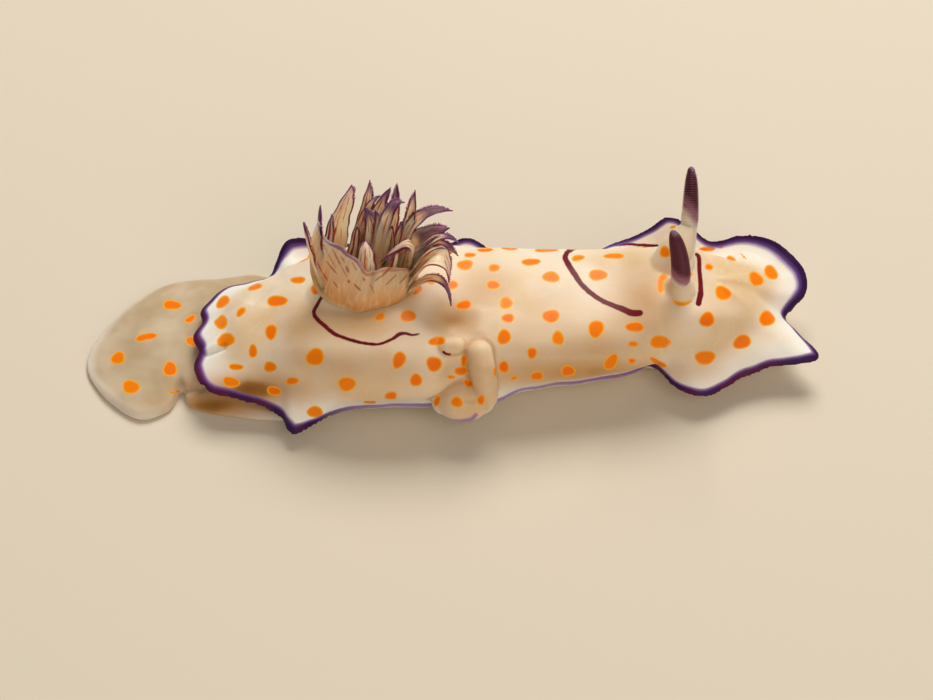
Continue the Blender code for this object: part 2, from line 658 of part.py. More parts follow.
def whole_foot():
    """The foot and tail, flat below, before they are parted."""
    edge = round_loop(list(FOOT_EDGE.values()), FOOT_SPOKES)
    root, way, reach = spokes_from(FOOT_LINE, edge)
    ridge = read(FOOT_RIDGE, root[:, 0])
    sections = []
    for share in FOOT_RINGS:
        out = reach * share
        at = root[:, 0] + way[:, 0] * out
        top = np.minimum(ridge, read(FOOT_RIDGE, at))
        edge_thick = FOOT_EDGE_THICK * np.minimum(1.0, top / 1.1)
        sections.append(np.column_stack([out, edge_thick + (top - edge_thick) * (1 - share ** FOOT_ROUND)]))
    sections.append(np.column_stack([reach, np.full(len(reach), FOOT_EDGE_HIGH)]))
    sections.append(np.column_stack([reach - FOOT_EDGE_TUCK, np.zeros(len(reach))]))
    return ringed_mesh("foot_whole", root, way, np.stack(sections, axis=1))


def copy_of(source, name):
    made = source.copy()
    made.data = source.data.copy()
    made.name = name
    bpy.context.scene.collection.objects.link(made)
    return made


def slice_of(source, name, start, end):
    """The part of source between two places along."""
    made = copy_of(source, name)
    boolean(made, box_between("slab", (start, -20, -5), (end, 20, 25)), "INTERSECT")
    return made


def head():
    """The snout under the front of the mantle, with the line of its mouth."""
    bpy.ops.mesh.primitive_uv_sphere_add(segments=20, ring_count=12, radius=1.0)
    made = bpy.context.object
    size = Matrix.Diagonal((*[radius * MM for radius in HEAD_RADII], 1.0))
    made.data.transform(Matrix.Translation(placed(HEAD_CENTRE)) @ size)
    low, high = HEAD_ROOM
    boolean(made, box_between("room", (low[0] + GAP, -9, -1), (30, 9, high[2] - GAP)), "INTERSECT")
    front = HEAD_CENTRE[0] + HEAD_RADII[0]
    middle, up = HEAD_CENTRE[1], HEAD_CENTRE[2] - MOUTH_LOW
    boolean(made, box_between("mouth", (front - MOUTH_DEEP, middle - MOUTH_WIDE / 2, up - MOUTH_HIGH / 2),
                              (front + 2, middle + MOUTH_WIDE / 2, up + MOUTH_HIGH / 2)), "DIFFERENCE")
    return made


def oral_tentacle(side):
    """A short blunt feeler beside the mouth, standing in its socket."""
    foot, way = ORAL_TENTACLES[side]
    axis = Vector(way).normalized()
    rows = ((GAP - ORAL_DEEP + DOME[0][0] * ORAL_RADIUS, 1.0), (0.3 * ORAL_LONG, 0.95),
            (0.7 * ORAL_LONG, 0.8), (ORAL_LONG, 0.6))
    points = [Vector(foot) + axis * reach for reach, share in rows]
    return tube("oral_tentacle", *domed(points, [ORAL_RADIUS * share for reach, share in rows]), 4)


def build():
    animal = bpy.data.collections.new("hypselodoris_ghardaqana")
    bpy.context.scene.collection.children.link(animal)

    mantle = whole_mantle()
    boolean(mantle, box_between("head_room", *HEAD_ROOM), "DIFFERENCE")
    spans = {
        "mantle_head": (HEAD_CUT + GAP / 2, 40),
        "mantle_back": (REAR_CUT + GAP / 2, HEAD_CUT - GAP / 2),
        "mantle_rear": (-40, REAR_CUT - GAP / 2),
    }
    parts = {name: slice_of(mantle, name, *span) for name, span in spans.items()}
    bpy.data.objects.remove(mantle)

    joined("mantle_head", [parts["mantle_head"]] + [sheath(side) for side in RHINOPHORES])
    for feeler in RHINOPHORES.values():
        boolean(parts["mantle_head"], socket(*feeler[:2], SOCKET_DEEP, SOCKET_RADIUS), "DIFFERENCE")
    joined("mantle_back", [parts["mantle_back"]] + fold_pieces())
    boolean(parts["mantle_back"], gill_pocket(), "DIFFERENCE")
    for name, part in parts.items():
        finish(tidied(part), name, "mantle", animal)

    under = whole_foot()
    for name, span in {"foot": (TAIL_CUT + GAP / 2, 40), "tail": (-40, TAIL_CUT - GAP / 2)}.items():
        finish(tidied(slice_of(under, name, *span)), name, "foot", animal)
    bpy.data.objects.remove(under)

    for side in RHINOPHORES:
        finish(rhinophore(side), "rhinophore_" + side, "rhinophore", animal)
    for name, middle in GILL_QUARTERS.items():
        finish(tidied(gill_quarter(name, middle)), name, "gill", animal)

    snout = head()
    for side, feeler in ORAL_TENTACLES.items():
        boolean(snout, socket(*feeler, ORAL_DEEP, ORAL_RADIUS + GAP), "DIFFERENCE")
        finish(oral_tentacle(side), "oral_tentacle_" + side, "foot", animal)
    finish(tidied(snout), "head", "foot", animal)


for old in list(bpy.data.objects):
    bpy.data.objects.remove(old)
build()
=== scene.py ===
"""The looks of a crawling sea slug, hypselodoris ghardaqana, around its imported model.

Lengths are in millimetres in the animal's own frame: head towards +X, its right side towards -Y, floor at
z = 0. piece() turns such points into metres in the model's frame. Places in the photograph are pixels of its
933 by 700 frame, and each mark's places are cast from the camera on to the skin, so that it lies in the skin.
"""

import math

import bmesh
import bpy
import numpy as np
from mathutils import Euler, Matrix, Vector, noise
from mathutils.bvhtree import BVHTree
from mathutils.kdtree import KDTree


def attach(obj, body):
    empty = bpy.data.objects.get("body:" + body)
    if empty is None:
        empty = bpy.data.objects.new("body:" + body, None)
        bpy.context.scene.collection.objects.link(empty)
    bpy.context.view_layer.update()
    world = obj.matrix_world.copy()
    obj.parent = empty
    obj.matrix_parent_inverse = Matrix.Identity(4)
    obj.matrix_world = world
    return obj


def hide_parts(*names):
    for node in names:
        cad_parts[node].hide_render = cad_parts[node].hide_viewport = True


MM = 0.001
MIDDLE = (0.0, 0.08, 0.0)
PHOTO_WIDE, PHOTO_HIGH = 933, 700
SEED = 7
# How far off a mark is taken to be where there is none near.
FAR = 2.0
# How finely a smooth curve is worked out between two of its points.
CURVE_STEPS = 40

# The camera: how steeply it looks down, its lens, and the point it looks at.
CAMERA_ELEVATION = 50
LENS, SENSOR = 85, 36
CAMERA_TARGET = (1.36, -1.77, 3.0)
PIXELS_PER_MM = 12.17

# The mantle's free edge, going round from the front over the right side: along, across, up, cup, band.
# Cup is how far the brim bulges above a straight run to the edge, band the width of the purple band there.
MANTLE_EDGE = {
    "front_notch": (27.9, 2.3, 2.7, 0.0, 0.65),
    "front_right_hollow": (28.8, 0.3, 2.9, 0.0, 0.5),
    "front_right_corner": (30.2, -2.2, 3.0, 0.0, 0.65),
    "front_right_turn": (28.9, -2.8, 2.9, 0.2, 0.52),
    "right_cheek_front": (26.3, -3.1, 2.7, 0.5, 0.48),
    "right_cheek": (24.0, -3.9, 2.4, 0.6, 0.5),
    "right_lobe_front": (22.3, -5.0, 2.2, 0.7, 0.5),
    "right_lobe": (20.4, -5.8, 2.2, 0.8, 0.5),
    "right_lobe_rear": (18.5, -4.9, 2.3, 0.6, 0.4),
    "right_neck": (16.5, -2.9, 2.6, 0.2, 0.38),
    "right_side_front": (14.5, -3.5, 2.2, 0.2, 0.2),
    "right_side": (9.5, -4.4, 2.0, 0.2, 0.14),
    "right_side_rear": (5.5, -5.3, 2.0, 0.2, 0.14),
    "right_fold_front": (3.6, -6.2, 1.8, 0.3, 0.16),
    "right_fold": (1.0, -6.3, 1.7, 0.3, 0.25),
    "right_fold_rear": (-1.6, -6.4, 1.7, 0.3, 0.2),
    "right_flank": (-5.0, -6.2, 1.5, 0.2, 0.16),
    "right_rear_flank": (-8.6, -6.9, 1.6, 0.3, 0.26),
    "rear_right_front": (-11.1, -8.3, 1.6, 0.5, 0.4),
    "rear_right_corner": (-12.7, -9.1, 1.6, 0.6, 0.68),
    "rear_right_inner": (-13.8, -7.5, 1.9, 0.5, 0.6),
    "rear_right_side": (-16.6, -6.7, 2.8, 0.3, 0.5),
    "rear_right_turn": (-19.5, -6.1, 3.2, 0.1, 0.6),
    "rear_lower": (-20.7, -4.0, 3.4, 0.0, 0.68),
    "rear_pleat": (-20.5, -2.4, 3.7, 0.0, 0.72),
    "rear_middle": (-21.0, -0.8, 3.7, 0.0, 0.68),
    "rear_upper_notch": (-20.5, 0.9, 3.5, 0.0, 0.65),
    "rear_upper": (-20.6, 2.4, 3.5, 0.0, 0.6),
    "rear_left_turn": (-18.9, 4.7, 3.4, 0.0, 0.5),
    "rear_left_side": (-16.9, 5.3, 3.4, -0.1, 0.55),
    "rear_left_low": (-15.3, 5.9, 3.6, -0.4, 0.55),
    "rear_left_inner": (-14.6, 7.0, 4.2, -0.7, 0.7),
    "rear_left_corner": (-13.5, 8.3, 5.6, -1.0, 0.9),
    "left_rear_flank": (-10.0, 8.6, 5.0, -0.8, 0.6),
    "left_flank": (-5.0, 8.0, 4.2, -0.5, 0.5),
    "left_bump_rear": (-1.0, 8.2, 4.6, -0.5, 0.5),
    "left_bump": (1.6, 8.5, 5.5, -0.6, 0.6),
    "left_bump_front": (4.6, 7.6, 3.8, -0.3, 0.45),
    "left_side": (9.0, 6.8, 3.3, 0.3, 0.4),
    "left_neck": (12.6, 7.3, 5.2, 1.0, 0.4),
    "left_lobe_rear": (16.5, 8.35, 6.6, 0.2, 0.5),
    "left_lobe": (18.3, 9.2, 7.3, -0.9, 0.55),
    "left_lobe_front": (20.3, 8.85, 6.45, -0.8, 0.5),
    "left_dip": (22.0, 8.4, 5.25, -0.6, 0.6),
    "left_cheek": (24.6, 8.4, 6.0, -0.9, 0.78),
    "front_left_corner": (27.2, 7.55, 6.15, -1.2, 0.92),
    "front_left_side": (29.4, 5.7, 4.9, -0.9, 0.94),
    "front_left_turn": (29.6, 3.8, 3.8, -0.4, 0.8),
}
# The foot's edge, going round the same way: along, across.
FOOT_EDGE = {
    "front": (20.4, 1.6),
    "front_right": (19.6, -1.2),
    "right_front": (16.5, -1.5),
    "right": (10.0, -2.8),
    "right_waist": (2.0, -4.0),
    "right_rear": (-6.0, -4.5),
    "right_rear_turn": (-10.0, -5.3),
    "right_heel": (-13.3, -7.0),
    "right_heel_rear": (-18.0, -6.6),
    "pleat_front": (-21.2, -5.7),
    "pleat": (-22.1, -4.0),
    "pleat_rear": (-23.0, -6.0),
    "tail_right": (-25.3, -6.9),
    "tail_right_turn": (-27.9, -5.2),
    "tail_low": (-29.9, -2.6),
    "tail_tip": (-30.3, -0.2),
    "tail_high": (-29.2, 2.3),
    "tail_left_turn": (-26.7, 6.0),
    "tail_left": (-23.8, 8.0),
    "left_heel_rear": (-20.0, 8.4),
    "left_heel": (-16.0, 8.8),
    "left_rear": (-10.0, 5.6),
    "left_waist": (0.0, 4.4),
    "left": (10.0, 4.0),
    "left_front": (16.5, 4.6),
    "front_left": (19.6, 4.0),
}

# The body along its length: place along, then the value there.
SPINE = ((-14.5, -0.4), (-8.0, -0.6), (-2.0, -0.5), (4.0, 0.2), (10.0, 0.7), (16.0, 1.3), (21.0, 2.0))
CREST = ((-14.5, 6.9), (-11.0, 8.5), (-7.0, 9.5), (-2.0, 9.6), (3.0, 9.1), (8.0, 8.5), (13.0, 8.4),
         (18.0, 8.7), (21.0, 7.6))
HALF_WIDTH = ((-14.5, 5.6), (-11.0, 6.5), (-5.0, 7.2), (1.0, 6.3), (7.0, 5.9), (13.0, 5.4), (17.0, 5.0),
              (21.0, 4.8))
HEAD_REACH = 5.6
REAR_REACH = 4.4
# Behind the first place the back slopes down to the edge all round, ahead of the second only at the head.
REAR_SLOPE = (-14.0, -11.0)
# Over what length either way the back's slope is measured.
SLOPE_STEP = 0.05
FOOT_RIDGE = ((-30.0, 0.8), (-28.0, 1.3), (-25.0, 1.9), (-21.0, 2.4), (-17.0, 2.4), (-12.0, 1.3),
              (-9.0, 1.1), (20.4, 1.1))
FOOT_LINE = ((-25.0, 0.2), (-16.0, 0.3), (-8.0, 0.1), (2.0, 0.2), (10.0, 0.6), (17.0, 1.4))
FOOT_ROUND = 2.4
# Over how many spokes either way the foot's outline is evened out towards its middle.
FOOT_CALM = 14
FOOT_EDGE_THICK, FOOT_EDGE_HIGH, FOOT_EDGE_TUCK = 0.7, 0.35, 0.2
# The foot's edge is thinner where its ridge is lower than this.
FOOT_THIN_BELOW = 1.1
# Rings from the foot's midline out, and how far out the last of them lies.
FOOT_RINGS, FOOT_LAST_RING = 18, 0.94
EDGE_THICK = 0.6
UNDERSIDE = ((0.97, EDGE_THICK), (0.86, 0.9), (0.74, 1.1))
# How far the mantle's body reaches down into the foot, so that the two are one.
SINK = 0.5
# The side flares where the edge lies beyond the back: from this share of the back's half width, and in full
# after this much more. A spoke runs to an end where it points along by more than this, likewise.
FLARE_FROM, FLARE_RUN, END_FROM, END_RUN = 0.85, 0.4, 0.35, 0.6
# How far out the section's shoulder lies and how much less at the ends, as shares of the half width.
SHOULDER_OUT, SHOULDER_LESS = 0.5, 0.18
# How far out the upper flank and the flank lie: tucked in, flared, and how much less at the ends.
UPPER_OUT, FLANK_OUT = (1.06, 0.92, 0.2), (1.16, 0.98, 0.06)
# How high the upper flank is as a share of the crest, how much less at the ends, and how much the edge adds.
UPPER_HIGH = (0.93, 0.16, 0.1)
# Shares of the crest and the edge in the flank's height: tucked in, flared, and at the ends.
TUCKED_HIGH, FLARED_HIGH, END_HIGH = (0.42, 0.0), (0.5, 0.08), (0.42, 0.5)
# The brim, between flank and edge: how far out where tucked in and where flared, its share of the flank's and
# of the edge's height, and how much it sags where it flares.
BRIM_TUCKED, BRIM_LEAST, BRIM_FLARED, BRIM_HIGH, BRIM_SAG = 0.3, 0.5, 0.5, (0.4, 0.6), 0.35
# How far in from the edge the section over the back ends, and how far out the body under it reaches.
EDGE_IN, BODY_OUT, BODY_IN, BODY_AHEAD = 0.1, 0.62, 1.6, 0.55
# The flesh looks like the tail behind a place along, away from the free edge and low down: where each starts
# to count and where it counts in full. The sole looks so all over.
TAIL_START, TAIL_FULL = -12.0, 3.0
TAIL_FROM_EDGE, TAIL_HIGH, SOLE_HIGH = (0.35, 0.7), (2.75, 2.35), (1.3, 1.0)
# Where across the band turns reddish towards the camera, and how wide it has to be to be dark.
NEAR_SIDE, DARK_BAND = (3.0, -2.0), (0.12, 0.4)
# How far the violet beside the band reaches: at least, and how much more for each millimetre of a wide band.
HALO_REACH, HALO_MORE, HALO_BAND = 0.16, 0.6, 0.5

# Rhinophores: foot of the axis on the mantle, the way it points, bend of the tip, how far up the white of the
# stem lasts and the purple is full, and how much further up both are on the side away from +X.
RHINOPHORES = {
    "right": ((18.6, 0.1, 8.3), (0.0, -0.13, 1.0), (-0.15, 0.0, 0.0), 1.1, 3.6, 0.8),
    "left": ((19.2, 3.0, 8.1), (0.14, 0.68, 0.9), (-0.08, 0.0, 0.0), 3.5, 5.8, 0.9),
}
RHINOPHORE_LONG = 8.2
STEM_RADIUS = 0.66
CLUB_RADIUS = {"right": 0.84, "left": 0.78}
# How far along the stem, and its radius there as a share of the stem's.
STEM_ROWS = ((-1.0, 1.2), (0.3, 1.12))
# Where each club starts and its last lamella ends, how much it narrows on the way, and how blunt its tip is.
CLUB_FROM = {"right": 1.3, "left": 3.2}
CLUB_END = 7.9
CLUB_NARROWS = 0.3
CLUB_BLUNT = 6
CLUB_SIDES = 40
# The rows that close a club's tip: how far beyond its last lamella, and radius as a share of the last.
CLUB_TIP_ROWS = ((0.08, 0.85), (0.2, 0.6), (0.29, 0.25))
# Lamellae: how far apart and how deep, and each one's rows: offset as a share of the spacing, how far in as a
# share of the depth, and how much it is ridge.
LAMELLAE_APART, LAMELLA_DEEP = 0.19, 0.12
LAMELLA = ((-0.42, 1.0, 0.0), (-0.2, 0.3, 0.6), (0.05, 0.0, 1.0), (0.3, 0.35, 0.6))
# The skin round a feeler's foot, a round bulb on the right and a cone on the left: reach and radius.
SHEATH = {
    "right": ((-1.8, 1.5), (-0.9, 1.35), (-0.1, 1.28), (0.5, 1.2), (0.9, 1.0)),
    "left": ((-1.9, 2.0), (-0.6, 1.75), (0.6, 1.5), (1.6, 1.35), (2.4, 0.98), (3.3, 0.62)),
}
# How far the left cone leans to the rear at its foot.
SHEATH_LEAN = {"right": 0.0, "left": 1.4}

# Gill: an oval ring of branches round the vent.
GILL_CENTRE = (-7.0, -0.3)
GILL_LONG, GILL_WIDE = 3.4, 2.5
GILL_TOP = 9.6
# Where the branches start, as a share of the ring's size, and how far below its top.
BRANCH_ROOT, BRANCH_SUNK, INNER_ROOT = 0.97, 0.8, 0.55
# The low dome of skin that they grow from, from its foot to its middle: share of the ring, and up.
GILL_MOUND = ((1.5, 7.4), (1.32, 8.4), (1.16, 9.0), (1.02, 9.45), (0.9, 9.75), (0.7, 9.8), (0.3, 9.6))
MOUND_SPOKES, MOUND_RINGS = 120, 40
# Each branch: bearing of its root on the ring from +X towards +Y, the pixel where its tip shows, the tip's
# place across, the pixel where its middle shows, breadth, how broad the root is as a share of it, how blunt
# it ends, how deep it is folded, and the share of it that is dark.
GILL_BRANCHES = (
    (194, (303.5, 222), 1.0, (310, 252), 1.6, 1.2, 2.1, 0.3, 0.25),
    (186, (320.5, 205), 2.6, (318, 240), 1.6, 0.8, 1.9, 0.4, 0.3),
    (160, (332, 214), 2.4, (327, 244), 1.5, 0.8, 2.0, 0.4, 0.16),
    (128, (352, 185), 4.4, (336, 226), 2.6, 0.7, 3.2, 0.2, 0.1),
    (118, (370, 180), 4.9, (359, 222), 1.6, 0.7, 2.0, 0.45, 0.22),
    (108, (381, 196), 4.2, (364, 213), 1.0, 0.8, 1.9, 0.45, 0.34),
    (94, (391, 187), 4.5, (375, 217), 1.3, 0.7, 1.8, 0.5, 0.32),
    (76, (397, 183), 4.6, (392, 224), 1.3, 0.7, 1.9, 0.5, 0.28),
    (44, (415, 190), 3.5, (410, 229), 1.5, 0.7, 2.0, 0.5, 0.2),
    (24, (453, 211), 3.1, (416, 225), 1.5, 0.8, 1.9, 0.45, 0.45),
    (8, (450, 228), 1.5, (418, 248), 2.5, 0.7, 2.1, 0.5, 0.5),
    (2, (458, 242), 0.7, (430, 244), 1.1, 0.8, 1.9, 0.4, 0.35),
    (-6, (458, 256), 0.2, (430, 249), 1.4, 0.8, 1.9, 0.4, 0.34),
    (-14, (449, 283), -1.5, (434, 259), 1.9, 0.8, 3.4, 0.35, 0.12),
    (-27, (451, 306), -2.8, (435, 279), 0.9, 0.8, 1.7, 0.3, 0.45),
    (6, (381, 262), -0.8, (411, 243), 1.3, 0.35, 2.2, 0.5, 0.1),
)
# Narrower branches that stand inside the ring, as the others are given.
GILL_INNER = (
    (104, (364, 206), 3.1, (371, 234), 1.6, 0.8, 1.9, 0.45, 0.32),
    (72, (375, 210), 2.9, (379, 232), 1.0, 0.7, 1.8, 0.5, 0.3),
    (58, (404, 203), 3.4, (388, 217), 1.0, 0.8, 2.6, 0.5, 0.5),
    (30, (402, 221), 2.2, (398, 244), 1.1, 0.8, 1.9, 0.5, 0.25),
    (48, (392, 226), 1.9, (391, 248), 1.4, 0.8, 2.2, 0.4, 0.06),
    (150, (357, 226), 2.3, (351, 250), 1.4, 0.8, 1.9, 0.45, 0.08),
    (-100, (366, 240), 0.8, (364, 263), 1.6, 0.9, 2.2, 0.4, 0.15),
    (-30, (396, 244), 0.6, (396, 262), 1.1, 0.9, 2.0, 0.4, 0.1),
)
# How far a branch bulges out on the way, and the wall of joined leaves on the near side.
BRANCH_BULGE, WALL_BULGE = 0.35, 0.75
# The wall's rim: bearing on the ring below, the pixel where it shows, and its place across.
GILL_WALL = (
    (-172, (317, 221), 1.4), (-162, (323, 233), 0.9), (-150, (331, 242), 0.5), (-138, (341, 247), 0.0),
    (-126, (348, 253), -0.5), (-114, (356, 258), -1.0), (-102, (364, 270), -1.6), (-92, (371, 273), -1.8),
    (-80, (380, 269), -1.7), (-64, (392, 268), -1.4), (-46, (405, 268), -0.9), (-24, (416, 271), -0.4),
)
WALL_COLUMNS, WALL_ROWS = 150, 60
# Where along the rim, as a share of it, two leaves of the wall part, and how wide and deep the cleft is.
WALL_CLEFT, CLEFT_WIDE, CLEFT_DEEP = 0.6, 0.025, 0.3
# The wall's pleats: how deep, how many, and how much they lean over from foot to rim.
PLEAT_DEEP, PLEATS, PLEAT_LEAN = 0.1, 4.2, 0.35
# Reddish strokes on the wall: the pixels at both ends, and the width as seen in millimetres.
GILL_STROKES = (
    ((332, 248), (341, 266), 0.1), ((341, 266), (347, 277), 0.07), ((326, 261), (337, 274), 0.1),
    ((346, 266), (349, 273), 0.16), ((348, 280), (349.5, 283), 0.16), ((354, 284), (361, 291), 0.12),
    ((363, 278), (365, 281), 0.14), ((381, 277), (392, 266), 0.14), ((333, 281), (338, 288), 0.08),
    ((370, 284), (374, 293), 0.07), ((386, 285), (396, 275), 0.07), ((321, 240), (327, 252), 0.08),
    ((327, 252), (336, 268), 0.06), ((341, 256), (345, 263), 0.08), ((399, 284), (407, 275), 0.07),
    ((317, 262), (322, 272), 0.08), ((322, 272), (328, 281), 0.06), ((352, 262), (357, 271), 0.08),
    ((375, 281), (381, 276), 0.09), ((312, 246), (316, 258), 0.07),
)
# How broad a leaf would be at its tip, as a share of its breadth, but for its blunt end, which is never
# narrower than the least share.
LEAF_SWELL = 1.8
LEAF_STEPS, LEAF_COLUMNS, LEAF_LEAST = 36, 13, 0.015
# A leaf's thickness, and how much less at its margin and at its tip.
LEAF_THICK, LEAF_THINS_OUT, LEAF_THINS_UP = 0.15, 0.6, 0.55
# How deep and how tight a leaf's uneven edges are, then how it leans over, and how its fold waves.
LEAF_WAVES, LEAF_RIPPLES, LEAF_LEAN, FOLD_WAVES = (0.04, 2.4), (0.025, 5.5), (0.12, 3.0), (0.05, 4.0)
# Pinnules: how far apart, where on a leaf they start and over how much of it they run, and their size.
PINNULE_STEP, PINNULE_FROM, PINNULE_RUN = 0.15, 0.2, 0.78
PINNULE_LONG, PINNULE_BROAD, PINNULE_THICK = 0.22, 0.07, 0.045
# A pinnule's rows: how far along it they lie, their share of its breadth, and how near the margin they count.
PINNULE_ROWS = ((0.0, 1.0, 0.14), (0.6, 0.75, 0.09), (1.0, 0.2, 0.03))
# On the unwrap, how wide a pinnule's patch is, and the gap beside each strip as a share of a strip.
PATCH, STRIP_GAP = 0.003, 0.04

# The pinched fold of the mantle on the right side: (along, across, up, radius) down each part.
FOLD_PARTS = {
    "lip": ((-0.3, -7.2, 3.1, 1.2), (0.6, -7.5, 3.4, 1.68), (1.6, -7.5, 3.4, 1.68), (2.5, -7.2, 3.2, 1.2)),
    "wall": ((0.3, -6.3, 3.6, 1.0), (0.75, -5.9, 5.2, 0.8), (0.8, -5.5, 6.8, 0.6)),
    "knob": ((-0.05, -5.9, 8.5, 0.62), (0.6, -5.9, 8.55, 0.66)),
    "finger": ((2.95, -7.1, 3.5, 0.95), (2.85, -7.1, 5.0, 1.0), (2.65, -6.85, 6.75, 1.0),
               (2.45, -6.05, 7.8, 0.94)),
}
ORAL_TENTACLES = {
    "right": ((23.9, -0.5, 1.25), (1.0, -0.75, -0.3)),
    "left": ((23.9, 3.7, 1.25), (1.0, 0.75, -0.3)),
}
# How far along an oral tentacle, and the radius there.
ORAL_ROWS = ((-0.6, 0.55), (0.3, 0.5), (1.4, 0.425), (1.9, 0.31))
HEAD_CENTRE = (22.0, 1.6, 1.6)
HEAD_RADII = (3.3, 2.6, 1.35)
HEAD_RINGS, HEAD_SIDES = 30, 48
MOUTH_WIDE, MOUTH_HIGH, MOUTH_DEEP, MOUTH_LOW, MOUTH_BACK = 2.2, 0.35, 0.6, 0.45, 1.5

# The skin: how finely its forms are drawn, the grain it is fused at, and rounds of smoothing all over and
# where forms meet.
MANTLE_SPOKES, MANTLE_RINGS = 640, 56
FOOT_SPOKES = 360
SKIN_GRAIN = 0.135
FINE_ROUNDS, CREASE_ROUNDS = 10, 110
# How far each round of smoothing moves a point: in on one round, and back out on the next.
SMOOTH_IN, SMOOTH_OUT = 0.5, -0.515
# How near to the free edge and to small forms the skin is kept, and where it is smoothed in full.
EDGE_KEPT, SMALL_KEPT = (0.7, 2.6), (0.3, 1.3)
# Points along the mantle's and the foot's edge from which distances are measured.
EDGE_SAMPLES, FOOT_SAMPLES = 4000, 3000
# The turns at which the round end of a tube is ringed, and a direction in which no tube runs.
TUBE_END_TURNS = (80, 60, 40, 20)
OFF_EVERY_TUBE = (0.31, 0.87, 0.22)
# Small waves of the free edge: how high and how long, and the draws for those outwards and those upwards. The
# edge starts further out, as smoothing draws it in.
RUFFLE_HIGH, RUFFLE_LONG, RUFFLE_SEEDS = 0.09, 1.6, (3.0, 8.0)
EDGE_OUT = 0.14
# Soft unevenness all over: how high and how long.
SKIN_LUMPS = ((0.1, 4.5), (0.045, 1.7))

# Orange spots by where they show in the photograph: x, y, then width and height as seen in millimetres, and
# the turn of the width from level, in degrees, where it isn't level.
SPOTS = {
    "tail": ((172, 305, 1.65, 0.8), (190, 319, 1.05, 0.6, 25), (146, 337, 1.8, 0.65, 12),
             (193, 341, 1.3, 0.85), (118, 358, 1.25, 1.05, 20), (170, 369, 1.25, 1.2, -30),
             (131, 387, 1.5, 1.15), (175, 392, 1.1, 0.2, 8)),
    "rear": ((223, 302, 1.25, 0.85, 40), (241, 312, 0.95, 0.6, 50), (221, 322, 1.15, 1.15, 20),
             (226, 340, 1.5, 1.15, 10), (277, 301, 1.8, 0.9), (271, 332, 0.95, 1.35),
             (253, 351, 0.75, 1.1), (236, 367, 1.25, 0.55), (270, 367, 1.15, 0.85),
             (231, 382, 1.55, 0.85, -8), (274, 391, 1.25, 0.75, -15), (292, 381, 1.15, 0.65),
             (255, 287, 1.3, 0.5, 20), (298, 280, 1.25, 0.6), (316, 288, 1.0, 1.05),
             (315, 357, 1.5, 1.5), (315, 412, 1.3, 1.0), (261, 401, 0.8, 0.2)),
    "gill": ((347, 384, 1.55, 1.15, 5), (370, 402, 1.0, 0.35), (346, 306, 0.9, 0.65),
             (380, 317, 1.0, 0.65, 25), (408, 316, 1.3, 1.05), (415, 288, 1.25, 1.0, -30),
             (431, 279, 0.9, 0.9), (453, 285, 0.85, 0.8), (464, 305, 1.4, 0.75, 10),
             (437, 341, 1.5, 0.75, 5), (399, 360, 1.55, 1.05, 60), (434, 364, 1.25, 1.35),
             (416, 380, 1.0, 1.15), (391, 396, 1.0, 0.8)),
    "back": ((437, 257, 1.15, 0.4), (450, 252, 0.7, 0.3), (465, 265, 1.3, 0.9),
             (470, 255, 1.0, 0.4), (485, 250, 1.4, 0.35), (494, 268, 1.05, 0.65, 5),
             (493, 285, 1.25, 0.75), (510, 248, 1.5, 0.35), (506, 303, 1.15, 1.0),
             (508, 318, 1.15, 0.75), (504, 337, 1.15, 1.3), (504, 367, 0.9, 1.0),
             (514, 378, 0.65, 0.35), (532, 353, 0.8, 1.05), (531, 262, 1.55, 0.6, 5),
             (537, 376, 1.15, 0.75), (546, 250, 2.0, 0.35), (551, 277, 1.5, 0.9),
             (551, 316, 1.4, 1.15), (558, 338, 1.0, 1.25), (568, 371, 1.15, 1.0, 10)),
    "neck": ((578, 258, 1.15, 0.5, 10), (598, 275, 1.5, 1.0), (585, 245, 0.8, 0.25),
             (595, 249, 1.5, 0.35), (596, 329, 1.3, 1.5), (614, 256, 1.65, 0.5),
             (625, 239, 1.3, 0.35, 5), (611, 362, 1.55, 0.95, 60), (635, 327, 1.5, 0.9),
             (633, 344, 0.9, 0.5), (632, 361, 0.75, 0.5), (660, 342, 1.65, 1.15),
             (658, 362.5, 1.7, 0.45, -30)),
    "head": ((665, 252, 0.95, 0.95), (673, 227, 0.5, 0.25, 20), (689, 274, 0.6, 0.5),
             (707, 249, 1.45, 0.4, 3), (716.5, 245, 1.2, 0.4, -22), (743, 256, 0.8, 0.15, -42),
             (709, 267, 0.72, 0.56), (731, 259, 0.8, 0.5, -24), (707, 319.5, 1.28, 1.25, 15),
             (705, 357.5, 1.8, 1.15), (723, 293, 1.45, 1.15, -18), (742, 342, 1.5, 1.2, 15),
             (756, 279, 1.4, 1.02, -52), (771, 272.5, 1.35, 1.0, -58), (767, 318.5, 1.4, 1.25, -30)),
    "bulb": ((662, 283, 0.85, 1.65, -14), (682, 299.5, 1.7, 1.05, 4)),
    "fold": ((464, 361, 0.5, 1.15), (461, 371, 1.15, 0.75), (451, 377, 0.8, 0.3),
             (468, 383, 0.85, 0.6, -25), (437, 401, 0.5, 1.0, -15), (457, 402, 1.0, 0.95),
             (481, 400, 0.65, 0.9), (495, 372, 0.25, 0.8)),
}
# Spots where the photograph doesn't show the skin: how many tries, how far apart, and their half sizes.
HIDDEN_TRIES, HIDDEN_APART = 5000, 2.5
HIDDEN_WIDE, HIDDEN_LONG = (0.42, 0.65), (0.5, 0.85)
# How far they stay from the purple band, from the feelers' feet, and from the gill as a share of its ring.
HIDDEN_FROM_BAND, HIDDEN_FROM_SHEATH, HIDDEN_FROM_GILL = 0.9, 0.8, 1.5
# The skin that has them: how far it faces up at least, and how high it lies.
HIDDEN_LEAST_TURN, HIDDEN_LEAST_HIGH = -0.1, 2.9
# How far such a spot is drawn out, and how alike the skin there has to face.
HIDDEN_REACH, HIDDEN_FACING = 2.6, 0.15
